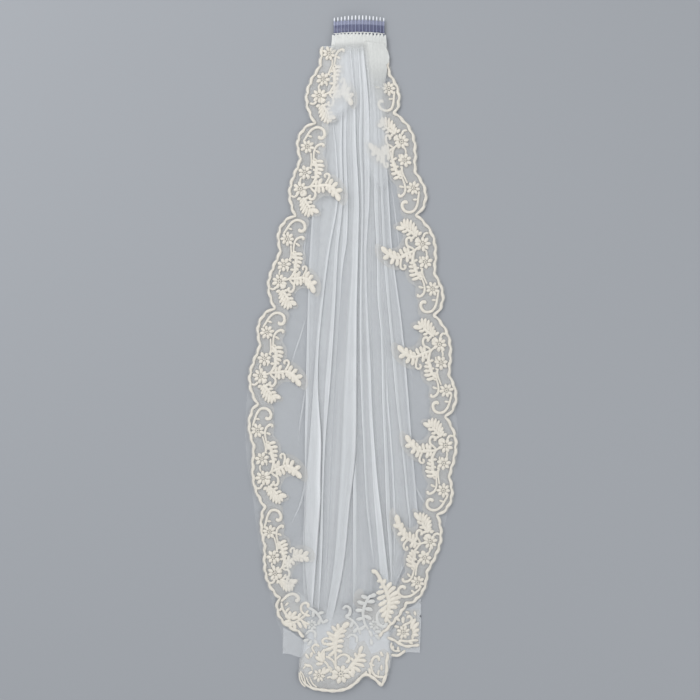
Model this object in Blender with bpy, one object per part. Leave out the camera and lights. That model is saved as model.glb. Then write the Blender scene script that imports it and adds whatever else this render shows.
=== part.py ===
"""A single-tier bridal veil on a clear plastic comb, laid flat on a table.

The comb lies at +Y with its teeth pointing along +Y, and the veil runs down to -Y.  Its layers lie
on each other: a back layer on the table, two fronts turned in over it, the pleated middle, and on
top the corded lace that borders the sides and the hem.  Sizes are in millimetres, +Z up, with the
origin on the table under the middle of the veil; MM turns them into metres as a mesh is made.
"""
import bisect
import math
from collections import namedtuple

import bmesh
import bpy
from mathutils import Vector
from mathutils.geometry import delaunay_2d_cdt

MM = 0.001
MERGE = 0.12            # points closer than this become one when a plane is triangulated
LINE_SAMPLES = 12       # places along a line that are tested against an outline

# ---- the layers, from the table up
SHEET = 1.0             # wall of one tulle layer, and of the lace's own net ground
LAYER_GAP = 0.4         # from one layer to the next
PLEAT_WALL = 1.5        # wall of the pleated middle, measured upright
PLEAT_GAP = 0.5         # under the pleated middle
FOLD_GAP = 0.8          # from its folds to the lace that lies over them
FRONT_Z = SHEET + LAYER_GAP
FRONT_TOP = FRONT_Z + SHEET
LACE_Z = FRONT_TOP + LAYER_GAP
PANEL_Z = FRONT_TOP + PLEAT_GAP
PANEL_TOP = PANEL_Z + PLEAT_WALL
RELIEF = 1.0            # how far cords, petals and leaves stand out of the lace's ground

# ---- the comb and the heading that is gathered on it
COMB_WIDTH = 80.0
COMB_X = 11.8
TEETH = 15
SPINE_Y = 485.1
SPINE_DEPTH = 9.0
TOOTH_END = 530.7
TOOTH_BOW = 4.0         # the outer teeth end this much lower than the middle ones
TOOTH_ROOT = 2.6
TOOTH_TIP = 1.8
TOOTH_POINT = 2.0       # length of a tooth's rounded end
SPINE_PARTS = 20        # straight pieces of the bent spine
COMB_LOW = 2.3          # the comb's faces, above the heading's underside
COMB_HIGH = 4.5
ARCH_RISE = 8.5         # the comb is bent to the head, so its middle lies above the table
HEADING_LEFT = -30.6
HEADING_RIGHT = 54.2
HEADING_LOW_Y = 482.8
HEADING_HIGH_Y = 498.5
HEADING_HEIGHT = 6.8
HEADING_WALL = 2.0
HEADING_BEND = 2.2      # size of its turned lower edges
HEADING_GATHERS = 12    # small ruffles across the heading's faces
GATHER_RISE = 0.6
ARCH_HALF = (HEADING_RIGHT - HEADING_LEFT) / 2
SEAM_Y = HEADING_LOW_Y - 0.4
FALL_Y = 400.0          # from here to the heading every layer climbs to the comb's arch

# ---- the pleated middle: its two edges, the mound of layers under it and its folds' height
Span = namedtuple("Span", "y left right mound fold")
MIDDLE = (
    Span(482.4, -25.1, 51.0, 0.0, 2.3),
    Span(460.8, -23.6, 51.0, 0.5, 2.6),
    Span(416.8, -32.2, 50.2, 1.2, 3.2),
    Span(379.2, -46.3, 49.5, 1.8, 3.6),
    Span(272.4, -58.9, 58.1, 2.5, 4.5),
    Span(162.5, -66.7, 65.2, 3.0, 5.0),
    Span(68.3, -69.9, 76.1, 3.0, 5.0),
    Span(-10.2, -73.0, 85.6, 3.0, 5.0),
    Span(-104.4, -73.8, 93.4, 3.0, 5.0),
    Span(-198.6, -74.5, 101.3, 3.0, 5.0),
    Span(-277.1, -76.5, 103.6, 2.8, 4.5),
    Span(-324.2, -76.0, 87.1, 2.4, 3.6),
    Span(-371.3, -74.0, 66.7, 1.8, 2.5),
    Span(-418.4, -74.5, 62.0, 0.8, 0.6),
    Span(-449.8, -76.1, 62.0, 0.2, 0.0),
    Span(-478.1, -82.4, 62.0, 0.0, 0.0),
    Span(-500.0, -83.2, 57.3, 0.0, 0.0),
)
MIDDLE_ROWS = (482.4, 461.0, 440.5, 420.0, 400.0, 360.0, 310.0, 250.0, 180.0, 110.0, 40.0, -30.0,
               -100.0, -170.0, -240.0, -300.0, -345.0, -385.0, -425.0, -455.0, -480.0, -500.0)
MOUND_INSET = 24.0      # the hidden layers stop this far inside the pleated middle's edges

# ---- its folds, left to right: where each ridge crosses five levels, and its share of the height
FOLD_LEVELS = (482.4, 272.4, 52.6, -57.3, -230.0, -387.0, -500.0)
Fold = namedtuple("Fold", "upper waist middle lower skirt share")
FOLDS = (
    Fold(-52.0, -63.0, -66.0, -67.0, -66.0, 0.45),
    Fold(-41.0, -50.0, -55.0, -55.0, -55.0, 0.60),
    Fold(-29.0, -34.0, -40.0, -40.0, -42.0, 0.80),
    Fold(-15.0, -14.0, -23.0, -21.0, -30.0, 1.00),
    Fold(-6.5, -2.5, -5.5, -4.0, -18.0, 0.75),
    Fold(2.4, 8.6, 8.3, 7.0, -7.0, 1.10),
    Fold(11.8, 16.5, 18.0, 21.0, 5.0, 0.90),
    Fold(20.0, 25.5, 30.0, 34.0, 18.0, 0.75),
    Fold(29.0, 36.5, 44.0, 48.0, 30.0, 1.00),
    Fold(38.0, 48.5, 60.0, 62.0, 40.0, 0.80),
    Fold(46.0, 60.0, 73.0, 76.0, 49.0, 0.60),
    Fold(53.0, 70.0, 84.0, 93.0, 57.0, 0.45),
)
COMB_PITCH = 6.0        # from fold to fold where they leave the heading
HEM_MARGIN = 6.0        # from the pleated middle's edge to its first fold, at the hem
FLANK = 0.40            # foot of a fold, as a share of the way to the next ridge
FLANK_RISE = 0.12
CREST_FLAT = 5.0        # what lies over a fold is up this far outside its ridge
CREST_REACH = 16.0      # and starts to rise here
LACE_CLIMB = 7.0        # the lace starts to climb this far outside the pleated middle's edge
LACE_LIP = 0.6          # and is up this far outside it
CLIMB_LINES = (-LACE_CLIMB, -LACE_LIP, 6.0, 14.0, 26.0)

# ---- outlines of what lies flat
HEM = ((-83.2, -500.0), (-77.7, -515.7), (-63.6, -526.0), (-41.6, -529.9), (-22.8, -530.7),
       (-5.5, -526.7), (8.6, -517.3), (21.2, -505.5), (33.8, -511.0), (47.9, -522.0),
       (57.3, -503.2))
HEM_STRETCH_Y = -440.0  # from here down the rows bend to the hem's own line
BACK_LEFT = ((-27.0, SEAM_Y), (-40.0, 466.0), (-44.0, 425.0), (-55.0, 362.0), (-74.0, 290.0),
             (-86.0, 217.0), (-103.0, 145.0), (-118.0, 71.4), (-140.0, 5.0), (-163.3, -54.2),
             (-168.0, -120.1), (-164.9, -167.2), (-154.6, -230.0), (-146.8, -292.8),
             (-135.8, -347.8), (-126.4, -383.9), (-118.5, -415.3), (-109.9, -437.2),
             (-109.1, -471.8), (-96.6, -472.6), (-84.0, -477.5), (-79.5, -484.0))
BACK_HEM = ((-79.0, -499.0), (-74.0, -512.0), (-62.0, -521.0), (-41.0, -525.5), (-23.0, -526.0),
            (-7.5, -522.0), (6.0, -513.0), (21.0, -500.5), (34.0, -506.0), (46.0, -516.0),
            (54.0, -501.0))
BACK_RIGHT = ((52.5, SEAM_Y), (53.0, 440.0), (65.0, 377.6), (84.0, 297.0), (99.0, 217.5),
              (115.0, 140.0), (127.0, 60.4), (147.0, 0.0), (160.0, -60.0), (166.8, -118.5),
              (167.6, -151.5), (162.5, -190.8), (148.4, -261.4), (138.2, -297.5),
              (129.5, -316.4), (119.3, -335.2), (110.7, -352.0), (109.9, -387.0),
              (107.5, -470.2), (87.1, -469.4), (73.0, -474.9), (60.0, -479.0))
FOLD_LEFT = ((-107.0, -430.0), (-96.5, -435.5), (-77.5, -448.5), (-60.0, -452.0),
             (-60.0, -478.0), (-80.0, -477.0), (-87.0, -475.0), (-96.6, -471.5),
             (-107.6, -470.5))
FOLD_RIGHT = ((56.0, -444.0), (66.5, -429.5), (76.0, -413.5), (84.5, -400.5), (95.5, -397.0),
              (108.6, -384.0), (109.2, -418.0), (107.0, -469.2), (87.1, -468.4), (73.0, -473.9),
              (56.0, -478.0))
ARCH_COLUMNS = 8        # the lattice that lets flat layers follow the arch
ARCH_ROWS = 5
ARCH_STEP = 6.0         # longest edge of an outline there

# ---- the lace trim: one repeat, along the edge (s) and inward from the line of notches (t)
REPEAT = 150.0
LOBES = ((0.0, 0.0, 0.0), (0.06, 0.62, 0.0), (0.18, 1.0, 0.0), (0.29, 0.92, 0.0),
         (0.41, 0.3, 0.3), (0.55, 0.0, 0.83), (0.70, 0.0, 1.0), (0.82, 0.0, 0.85),
         (0.93, 0.0, 0.42), (1.0, 0.0, 0.0))            # place, share of each lobe
FULL_LOBE = 18.0        # a flatter lobe than this pushes its motifs in by the share LOBE_PUSH,
LOBE_PUSH = 0.8         # and less the further in they are, to none at LOBE_REACH
LOBE_REACH = 60.0
FIRST_LOBE_END = 0.41   # share of a repeat
SMALL_SCALLOPS = 6
SCALLOP_POINTS = 3
SCALLOP_DEPTH = 1.8
CORD_RADIUS = 2.6
LACE_INNER = ((0, 24), (5, 30), (14, 32), (22, 28), (30, 29), (40, 30), (47, 28), (54, 33),
              (66, 37), (77, 40), (79, 50), (82, 62), (92, 74), (107, 80), (115, 75), (107, 60),
              (104, 49), (107, 38), (116, 34), (126, 36), (136, 41), (145, 33))
STRIP_WIDTH = 6.5       # where only the cord goes on, up beside the heading
FRONT_INSET = 0.8       # the tulle under the trim ends this far inside its edge

Flower = namedtuple("Flower", "x y radius")
Spray = namedtuple("Spray", "spine pairs leaf")
Scroll = namedtuple("Scroll", "spine radius")
FLOWERS = (Flower(36, -1, 10.5), Flower(74, 6, 9.5), Flower(108, 5, 13.0))
SPRAYS = (
    Spray(((54, 21), (68, 26), (82, 28)), 3, 7.0),
    Spray(((121, 10), (131, 14), (143, 20)), 3, 7.5),
    Spray(((101, 31), (91, 42), (93, 55), (104, 67)), 4, 9.5),
)
SCROLLS = (
    Scroll(((20, -5), (9, -3), (4.5, 6), (5, 18), (11, 25.5), (17, 23), (15, 16)), 1.8),
    Scroll(((44, 11), (35, 15), (31, 21), (36, 26), (41, 23)), 1.5),
    Scroll(((98, 20), (104, 27), (113, 28), (119, 22)), 1.7),
    Scroll(((131, 19), (133, 27), (135, 34)), 2.2),
)
PETALS = 8
PETAL_NOTCH = 0.5       # the notch between petals and each petal's top, as shares of the radius
PETAL_TOP = 0.62
FLOWER_CENTRE = 0.4     # its height there, as a share of the relief
LEAF_OUT = 0.85         # a leaflet's tip from its root: out from the stem and on along it
LEAF_ON = 0.45
LEAF_TAPER = 0.25       # how much shorter the leaflets get towards the tip
END_LEAF = 0.8
STEM_HALF = 1.2

# ---- where the trim runs: its notches in order, and how far the next scallop's lobes stand out
Notch = namedtuple("Notch", "x y first second")
LEFT_NOTCHES = (Notch(-32.2, 509.5, 11, 21), Notch(-60.4, 361.9, 20, 17),
                Notch(-91.1, 216.7, 19, 18), Notch(-123.2, 71.4, 19, 17),
                Notch(-149.9, -79.3, 13, 13), Notch(-138.9, -241.0, 8, 9),
                Notch(-115.4, -384.7, 15, 8), Notch(-14.9, -500.0, 0, 0))
RIGHT_NOTCHES = (Notch(-18.0, -496.9, 2, 2), Notch(88.7, -393.3, 13, 14),
                 Notch(137.4, -253.6, 17, 17), Notch(149.9, -98.9, 18, 18),
                 Notch(132.7, 60.4, 18, 20), Notch(104.4, 217.5, 21, 21),
                 Notch(69.9, 377.6, 13.5, 10), Notch(35.3, 520.5, 0, 0))
Run = namedtuple("Run", "notches start end inner_start inner_end strip")
LEFT_RUN = Run(LEFT_NOTCHES, 0.2, 6.48, 0.2, 6.31, False)
RIGHT_RUN = Run(RIGHT_NOTCHES, 0.54, 6.71, 0.55, 6.28, True)

# ---- the lace on the hem and on the turned corner, in the veil's own x and y
HEM_INNER = ((-81.5, -480.0), (-70.0, -463.0), (-58.0, -455.0), (-46.0, -458.0), (-36.0, -462.0),
             (-38.0, -448.0), (-28.0, -432.0), (-16.0, -420.0), (0.0, -413.0), (5.0, -424.0),
             (-3.0, -446.0), (-4.0, -462.0), (4.0, -464.0), (10.0, -452.0), (20.0, -449.0),
             (27.0, -462.0), (31.0, -470.0), (40.0, -467.0), (50.0, -462.0), (60.5, -468.0),
             (61.0, -480.0))
HEM_FLOWERS = (Flower(-18.1, -500.0, 13.0), Flower(-49.5, -504.7, 9.0))
HEM_SPRAYS = (
    Spray(((-22.8, -479.0), (-26.0, -457.7), (-15.0, -437.3), (-5.5, -423.2)), 5, 9.5),
    Spray(((0.8, -494.0), (10.2, -476.5), (16.0, -463.0)), 4, 7.5),
    Spray(((-42.0, -490.0), (-52.0, -480.0), (-62.0, -468.0)), 3, 7.0),
)
HEM_SCROLLS = (
    Scroll(((45.0, -508.0), (34.0, -499.0), (31.0, -485.0), (38.0, -475.0), (44.0, -481.0)), 1.8),
    Scroll(((-15.0, -478.0), (-7.0, -473.0), (-1.5, -478.0), (-6.0, -484.0)), 1.5),
    Scroll(((53.0, -470.0), (53.0, -483.0)), 1.8),
)
CORNER_EDGE = ((62.8, -448.0), (70.0, -451.5), (78.0, -454.0), (86.0, -458.0), (96.0, -459.5),
               (106.0, -462.0))
CORNER_INNER = ((106.5, -402.0), (96.0, -400.5), (87.0, -403.5), (79.0, -415.0), (70.0, -430.0),
                (62.8, -440.5))
CORNER_FLOWERS = (Flower(86.0, -442.0, 9.5),)
CORNER_SCROLLS = (Scroll(((92.0, -430.0), (88.0, -422.0), (94.0, -415.0), (99.0, -420.0)), 1.5),)

Color = namedtuple("Color", "red green blue")
TULLE = Color(0.62, 0.68, 0.76)
PLEAT = Color(0.70, 0.74, 0.80)
LACE = Color(0.78, 0.74, 0.66)
GATHERED = Color(0.74, 0.76, 0.77)
PLASTIC = Color(0.45, 0.45, 0.72)


# ---------------------------------------------------------------- curves and heights
def eased(pairs, at):
    """Read a smooth curve through (place, value) pairs, its places rising."""
    places = [pair[0] for pair in pairs]
    values = [pair[1] for pair in pairs]
    if at <= places[0]:
        return values[0]
    if at >= places[-1]:
        return values[-1]
    k = bisect.bisect_right(places, at) - 1
    last = len(pairs) - 1

    def slope(i):
        low, high = max(i - 1, 0), min(i + 1, last)
        return (values[high] - values[low]) / (places[high] - places[low])

    step = places[k + 1] - places[k]
    f = (at - places[k]) / step
    start = (2 * f ** 3 - 3 * f ** 2 + 1) * values[k] + (f ** 3 - 2 * f ** 2 + f) * step * slope(k)
    end = (3 * f ** 2 - 2 * f ** 3) * values[k + 1] + (f ** 3 - f ** 2) * step * slope(k + 1)
    return start + end


def ridge_share(number, y):
    """Where a fold's ridge crosses a level, as a share of the pleated middle's width."""
    fold = FOLDS[number]
    left, right = MIDDLE[0].left, MIDDLE[0].right
    from_centre = number - (len(FOLDS) - 1) / 2
    crossings = [0.5 + from_centre * COMB_PITCH / (right - left)]
    for level, x in zip(FOLD_LEVELS[1:-1], fold[:5]):
        left, right = smooth_column("left", level), smooth_column("right", level)
        crossings.append((x - left) / (right - left))
    margin = HEM_MARGIN / (MIDDLE[-1].right - MIDDLE[-1].left)
    crossings.append(margin + (1.0 - 2 * margin) * number / (len(FOLDS) - 1))
    return eased(list(zip(reversed(FOLD_LEVELS), reversed(crossings))), y)


def smooth_column(column, y):
    """One column of the MIDDLE table at a level, on a smooth curve."""
    return eased([(row.y, getattr(row, column)) for row in reversed(MIDDLE)], y)


def middle_rows():
    """The pleated middle at each of its rows: edges, mound, fold height and ridges."""
    rows = {}
    for y in reversed(MIDDLE_ROWS):
        row = [smooth_column(column, y) for column in ("left", "right")]
        row += [max(0.0, smooth_column(column, y)) for column in ("mound", "fold")]
        row += [row[0] + (row[1] - row[0]) * ridge_share(k, y) for k in range(len(FOLDS))]
        rows[y] = row
    return rows


def middle(y):
    """Left edge, right edge, mound, fold height and ridges at a level, straight between rows."""
    levels = list(ROWS)
    y = min(max(y, levels[0]), levels[-1])
    k = min(bisect.bisect_right(levels, y), len(levels) - 1) - 1
    share = (y - levels[k]) / (levels[k + 1] - levels[k])
    return [a + share * (b - a) for a, b in zip(ROWS[levels[k]], ROWS[levels[k + 1]])]


ROWS = middle_rows()


def arch(x):
    """How far the comb's bend lifts the heading above the table."""
    return ARCH_RISE * max(0.0, 1.0 - ((x - COMB_X) / ARCH_HALF) ** 2)


def lift(x, y):
    """How far every layer climbs towards the comb."""
    return arch(x) * min(1.0, max(0.0, (y - FALL_Y) / (HEADING_LOW_Y - FALL_Y)))


def mound_edges(y):
    left, right = middle(y)[:2]
    return left + MOUND_INSET, right - MOUND_INSET


def mound(x, y):
    """Height of the hidden layers' dome above the fronts."""
    left, right = mound_edges(y)
    across = (2 * x - left - right) / (right - left)
    return middle(y)[2] * max(0.0, 1.0 - across ** 2)


def crest(x, y):
    """Height over the folds of the pleated middle: it only rises, inward from either edge."""
    left, right, _, fold, *ridges = middle(y)
    from_left = x - left < right - x
    height = 0.0
    for k, ridge in enumerate(ridges):
        short = ridge - x if from_left else x - ridge
        share = min(1.0, max(0.0, (CREST_REACH - short) / (CREST_REACH - CREST_FLAT)))
        height = max(height, fold * FOLDS[k].share * share)
    return height


def lace_floor(x, y):
    """Underside of the lace: flat on the fronts, and over the folds of the pleated middle."""
    left, right = middle(y)[:2]
    inside = min(x - left, right - x)
    over = PANEL_TOP + FOLD_GAP
    if inside <= -LACE_CLIMB:
        return LACE_Z
    if inside <= -LACE_LIP:
        share = (inside + LACE_CLIMB) / (LACE_CLIMB - LACE_LIP)
        return LACE_Z + share * (over + crest(min(max(x, left), right), y) - LACE_Z)
    return over + mound(x, y) + crest(x, y)


# ---------------------------------------------------------------- meshes
def add_object(name, mesh_verts, faces, color, roughness=0.7):
    """Make a node from vertices in millimetres, with its own plain material."""
    mesh = bpy.data.meshes.new(name)
    mesh.from_pydata([Vector(v) * MM for v in mesh_verts], [], faces)
    mesh.update()
    material = bpy.data.materials.new(name)
    material.use_nodes = True
    shader = material.node_tree.nodes["Principled BSDF"]
    shader.inputs["Base Color"].default_value = (*color, 1.0)
    shader.inputs["Roughness"].default_value = roughness
    shader.inputs["Metallic"].default_value = 0.0
    mesh.materials.append(material)
    node = bpy.data.objects.new(name, mesh)
    bpy.context.scene.collection.objects.link(node)
    return node


def inside_polygon(x, y, polygon):
    """Even-odd test of a point against a closed outline."""
    odd = False
    for (ax, ay), (bx, by) in zip(polygon, polygon[1:] + polygon[:1]):
        if (ay > y) != (by > y) and x < ax + (y - ay) / (by - ay) * (bx - ax):
            odd = not odd
    return odd


class Plan:
    """Points and lines in the plane, to be triangulated inside one outline."""

    def __init__(self, outline, follows_arch=True):
        self.outline = []
        for a, b in zip(outline, outline[1:] + outline[:1]):
            near_comb = follows_arch and max(a[1], b[1]) > FALL_Y
            parts = math.ceil(math.dist(a, b) / ARCH_STEP) if near_comb else 1
            cuts = {k / parts for k in range(parts)}
            for bound in (COMB_X - ARCH_HALF, COMB_X + ARCH_HALF):
                if near_comb and (a[0] - bound) * (b[0] - bound) < 0:
                    cuts.add((bound - a[0]) / (b[0] - a[0]))
            self.outline += [(a[0] + (b[0] - a[0]) * cut, a[1] + (b[1] - a[1]) * cut)
                             for cut in sorted(cuts)]
        self.points = []
        self.rise = []
        self.ground = []
        self.lines = []
        self.closed(self.outline)

    def chain(self, points, rise=0.0, ground=False):
        """Add a broken line; `rise` lifts its points, `ground` keeps it in the underside too."""
        first = len(self.points)
        self.points += [Vector((point[0], point[1])) for point in points]
        self.rise += [rise] * len(points)
        self.ground += [ground] * len(points)
        self.lines += [(first + k, first + k + 1) for k in range(len(points) - 1)]
        return first

    def closed(self, points):
        first = self.chain(points)
        self.lines.append((first + len(points) - 1, first))

    def arch_lattice(self):
        """Rows of points that let this layer follow the arch near the comb."""
        for row in range(ARCH_ROWS):
            y = FALL_Y + (SEAM_Y - FALL_Y) * row / ARCH_ROWS
            self.inner_chain([(COMB_X + ARCH_HALF * (2 * column / ARCH_COLUMNS - 1), y)
                              for column in range(ARCH_COLUMNS + 1)])
        for side in (-1, 1):
            self.inner_chain([(COMB_X + side * ARCH_HALF,
                               FALL_Y + (SEAM_Y - FALL_Y) * row / ARCH_ROWS)
                              for row in range(ARCH_ROWS)])

    def inner_chain(self, line):
        """Add the parts of a broken line that lie in the outline or cross it, as ground."""
        stretch = []
        for a, b in zip(line, line[1:]):
            samples = (Vector(a).lerp(Vector(b), k / LINE_SAMPLES) for k in range(LINE_SAMPLES + 1))
            if any(inside_polygon(*point, self.outline) for point in samples):
                stretch = stretch or [a]
                stretch.append(b)
            elif stretch:
                self.chain(stretch, ground=True)
                stretch = []
        if stretch:
            self.chain(stretch, ground=True)

    def triangulate(self):
        """Return the flat points, their rise, the triangles, and the ground's points and edges."""
        found = delaunay_2d_cdt(self.points, self.lines, [], 0, MERGE)
        points, edges, triangles, point_sources, edge_sources = found[:5]
        rise = [max((self.rise[k] for k in source), default=0.0) for source in point_sources]
        ground = {k for k, source in enumerate(point_sources) if any(self.ground[j] for j in source)}
        ground_edges = [edge for edge, source in zip(edges, edge_sources)
                        if any(self.ground[self.lines[k][0]] for k in source)]
        ground.update(k for edge in ground_edges for k in edge)
        kept = []
        for triangle in triangles:
            corners = [points[k] for k in triangle]
            x = sum(corner.x for corner in corners) / 3
            y = sum(corner.y for corner in corners) / 3
            if inside_polygon(x, y, self.outline):
                kept.append(tuple(triangle))
        return points, rise, kept, ground, ground_edges


def rim(triangles):
    """Directed edges that only one triangle has."""
    edges = {(t[k], t[(k + 1) % 3]) for t in triangles for k in range(3)}
    return [edge for edge in sorted(edges) if (edge[1], edge[0]) not in edges]


def underside(points, triangles, ground, ground_edges):
    """A plainer triangulation of the same patch, on its rim and its ground lines."""
    following = dict(rim(triangles))
    start = min(following)
    order = [start]
    while following[order[-1]] != start:
        order.append(following[order[-1]])
    if len(order) != len(following):
        raise ValueError("a layer has more than one rim")
    used = {k for triangle in triangles for k in triangle}
    index = order + [k for k in sorted(used & ground) if k not in following]
    place = {k: j for j, k in enumerate(index)}
    lines = [(k, (k + 1) % len(order)) for k in range(len(order))]
    lines += [(place[a], place[b]) for a, b in ground_edges if a in place and b in place]
    found = delaunay_2d_cdt([points[k] for k in index], lines, [], 0, 0.0)
    outline = [(points[k].x, points[k].y) for k in order]
    faces = []
    for triangle in found[2]:
        corners = [found[0][k] for k in triangle]
        x = sum(corner.x for corner in corners) / 3
        y = sum(corner.y for corner in corners) / 3
        if inside_polygon(x, y, outline):
            faces.append(tuple(index[found[3][k][0]] for k in triangle))
    return faces


def layer(name, plan, floor, ceiling, color):
    """Close a triangulated plan into a sheet between two heights, both lifted to the arch."""
    points, rise, tops, ground, ground_edges = plan.triangulate()
    bottoms = underside(points, tops, ground, ground_edges)
    verts, above, below = [], {}, {}
    for k in sorted({k for triangle in tops for k in triangle}):
        x, y = points[k]
        above[k] = len(verts)
        verts.append((x, y, ceiling(x, y) + rise[k] + lift(x, y)))
    for k in sorted({k for triangle in bottoms for k in triangle}):
        x, y = points[k]
        below[k] = len(verts)
        verts.append((x, y, floor(x, y) + lift(x, y)))
    faces = [tuple(above[k] for k in triangle) for triangle in tops]
    faces += [tuple(below[k] for k in reversed(triangle)) for triangle in bottoms]
    for a, b in rim(tops):
        faces.append((below[a], below[b], above[b], above[a]))
    add_object(name, verts, faces, color)


def flat_layer(name, plan, floor):
    """A sheet of tulle that lies level."""
    layer(name, plan, lambda x, y: floor, lambda x, y: floor + SHEET, TULLE)


def lace_layer(name, plan):
    """A patch of lace: its plain underside follows what it lies on."""
    layer(name, plan, lace_floor, lambda x, y: lace_floor(x, y) + SHEET, LACE)


# ---------------------------------------------------------------- plain layers
def make_back():
    plan = Plan(BACK_LEFT + BACK_HEM + tuple(reversed(BACK_RIGHT)))
    plan.arch_lattice()
    flat_layer("back_tulle", plan, 0.0)


def mound_line(side, low, high, offset=0.0):
    """The edge of the hidden layers between two levels, top first."""
    levels = [row for row in MIDDLE_ROWS if low < row < high]
    return [(mound_edges(y)[side] + offset, y) for y in [high] + levels + [low]]


def make_front(name, run, side):
    """One front: the tulle under a side's lace, turned in as far as the hidden layers."""
    steps = [run.start, *[k / SMALL_SCALLOPS for k in range(int(run.start * SMALL_SCALLOPS) + 1,
             int(run.end * SMALL_SCALLOPS) + 1)], run.end]
    edge = [edge_point(run, place, FRONT_INSET) for place in steps]
    top = 0 if side == 0 else -1
    edge[top] = (edge[top][0], SEAM_Y)
    low = min(edge, key=lambda point: point[1])[1]
    inner = mound_line(side, low, SEAM_Y, -LAYER_GAP if side == 0 else LAYER_GAP)
    outline = edge + (list(reversed(inner)) if side == 0 else inner)
    plan = Plan(outline)
    plan.arch_lattice()
    flat_layer(name, plan, FRONT_Z)


def make_hidden():
    """The layers folded away under the pleated middle, as one rounded solid."""
    low = BACK_HEM[0][1] + 4.0
    left = mound_line(0, low, SEAM_Y)
    right = mound_line(1, low, SEAM_Y)
    plan = Plan(left + list(reversed(right)))
    for share in (0.2, 0.5, 0.8):
        plan.chain([(a[0] + share * (b[0] - a[0]), a[1]) for a, b in
                    zip(left[1:-1], right[1:-1])])
    plan.arch_lattice()
    layer("hidden_folds", plan, lambda x, y: FRONT_Z, lambda x, y: FRONT_TOP + mound(x, y), TULLE)


# ---------------------------------------------------------------- the pleated middle
def section(y):
    """One row of the pleated middle: its x and its height above the mound, left to right."""
    left, right, _, height, *ridges = middle(y)
    row = [(left, 0.0)]
    for k, x in enumerate(ridges):
        before = ridges[k - 1] if k else left
        after = ridges[k + 1] if k + 1 < len(ridges) else right
        peak = height * FOLDS[k].share
        row.append((x - FLANK * (x - before), FLANK_RISE * peak))
        row.append((x, peak))
        row.append((x + FLANK * (after - x), FLANK_RISE * peak))
    row.append((right, 0.0))
    return row


def make_pleats():
    """The pleated middle: one wall through a section at each level, ending on the hem's line."""
    grid = []
    hem_y = MIDDLE_ROWS[-1]
    for y in MIDDLE_ROWS:
        stretch = max(0.0, (HEM_STRETCH_Y - y) / (HEM_STRETCH_Y - hem_y)) ** 2
        row = []
        for x, height in section(y):
            end = y + stretch * (eased(HEM, x) - hem_y)
            row.append((x, end, PANEL_Z + mound(x, y) + height + lift(x, end)))
        grid.append(row)
    rows, columns = len(grid), len(grid[0])
    low = [point for row in grid for point in row]
    verts = low + [(x, y, z + PLEAT_WALL) for x, y, z in low]
    top = len(low)
    faces = []

    def at(row, column):
        return row * columns + column

    for r in range(rows - 1):
        for c in range(columns - 1):
            quad = (at(r, c), at(r + 1, c), at(r + 1, c + 1), at(r, c + 1))
            faces.append(tuple(top + k for k in quad))
            faces.append(tuple(reversed(quad)))
    border = [at(0, c) for c in range(columns - 1, 0, -1)] + [at(r, 0) for r in range(rows - 1)]
    border += [at(rows - 1, c) for c in range(columns - 1)]
    border += [at(r, columns - 1) for r in range(rows - 1, 0, -1)]
    for a, b in zip(border, border[1:] + border[:1]):
        faces.append((a, b, top + b, top + a))
    add_object("centre_pleats", verts, faces, PLEAT)


# ---------------------------------------------------------------- the lace trim
def axis(run, place):
    """A point on the line of notches and the direction inward from it."""
    notches = run.notches
    k = min(int(place), len(notches) - 2)
    f = place - k
    corners = [Vector((notch.x, notch.y)) for notch in notches]
    ends = [corners[0] * 2 - corners[1], *corners, corners[-1] * 2 - corners[-2]]
    a, b, c, d = ends[k:k + 4]
    point = 0.5 * (2 * b + (c - a) * f + (2 * a - 5 * b + 4 * c - d) * f ** 2
                   + (3 * b - 3 * c + d - a) * f ** 3)
    along = 0.5 * ((c - a) + 2 * (2 * a - 5 * b + 4 * c - d) * f
                   + 3 * (3 * b - 3 * c + d - a) * f ** 2)
    along.normalize()
    return point, Vector((-along.y, along.x))


def bulge(run, place):
    """How far the scalloped edge stands out of the line of notches."""
    k = min(int(place), len(run.notches) - 2)
    f = place - k
    first = eased([(row[0], row[1]) for row in LOBES], f) * run.notches[k].first
    second = eased([(row[0], row[2]) for row in LOBES], f) * run.notches[k].second
    ripple = SCALLOP_DEPTH * (1.0 - abs(math.sin(math.pi * SMALL_SCALLOPS * f)))
    return first + second - ripple


def edge_point(run, place, inset=0.0):
    point, inward = axis(run, place)
    return tuple(point + inward * (inset - bulge(run, place)))


def trim_point(run, repeat, s, t):
    """A point of one repeat's drawing, laid out along the run."""
    place = repeat + s / REPEAT
    notch = run.notches[repeat]
    lobe = notch.first if s < REPEAT * FIRST_LOBE_END else notch.second
    near_edge = max(0.0, 1.0 - max(t, 0.0) / LOBE_REACH)
    point, inward = axis(run, place)
    return point + inward * (t + max(0.0, FULL_LOBE - lobe) * near_edge * LOBE_PUSH)


def add_flower(plan, centre, radius, turn=0.0):
    """A daisy: petals parted by notches, each raised in its middle."""
    outline, tops = [], []
    for k in range(PETALS):
        angle = turn + math.tau * k / PETALS
        along = Vector((math.cos(angle), math.sin(angle)))
        between = Vector((math.cos(angle + math.pi / PETALS), math.sin(angle + math.pi / PETALS)))
        outline += [centre + along * radius, centre + between * radius * PETAL_NOTCH]
        tops.append(centre + along * radius * PETAL_TOP)
    plan.closed(outline)
    for point in tops:
        plan.chain([point], rise=RELIEF)
    plan.chain([centre], rise=RELIEF * FLOWER_CENTRE)


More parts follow.
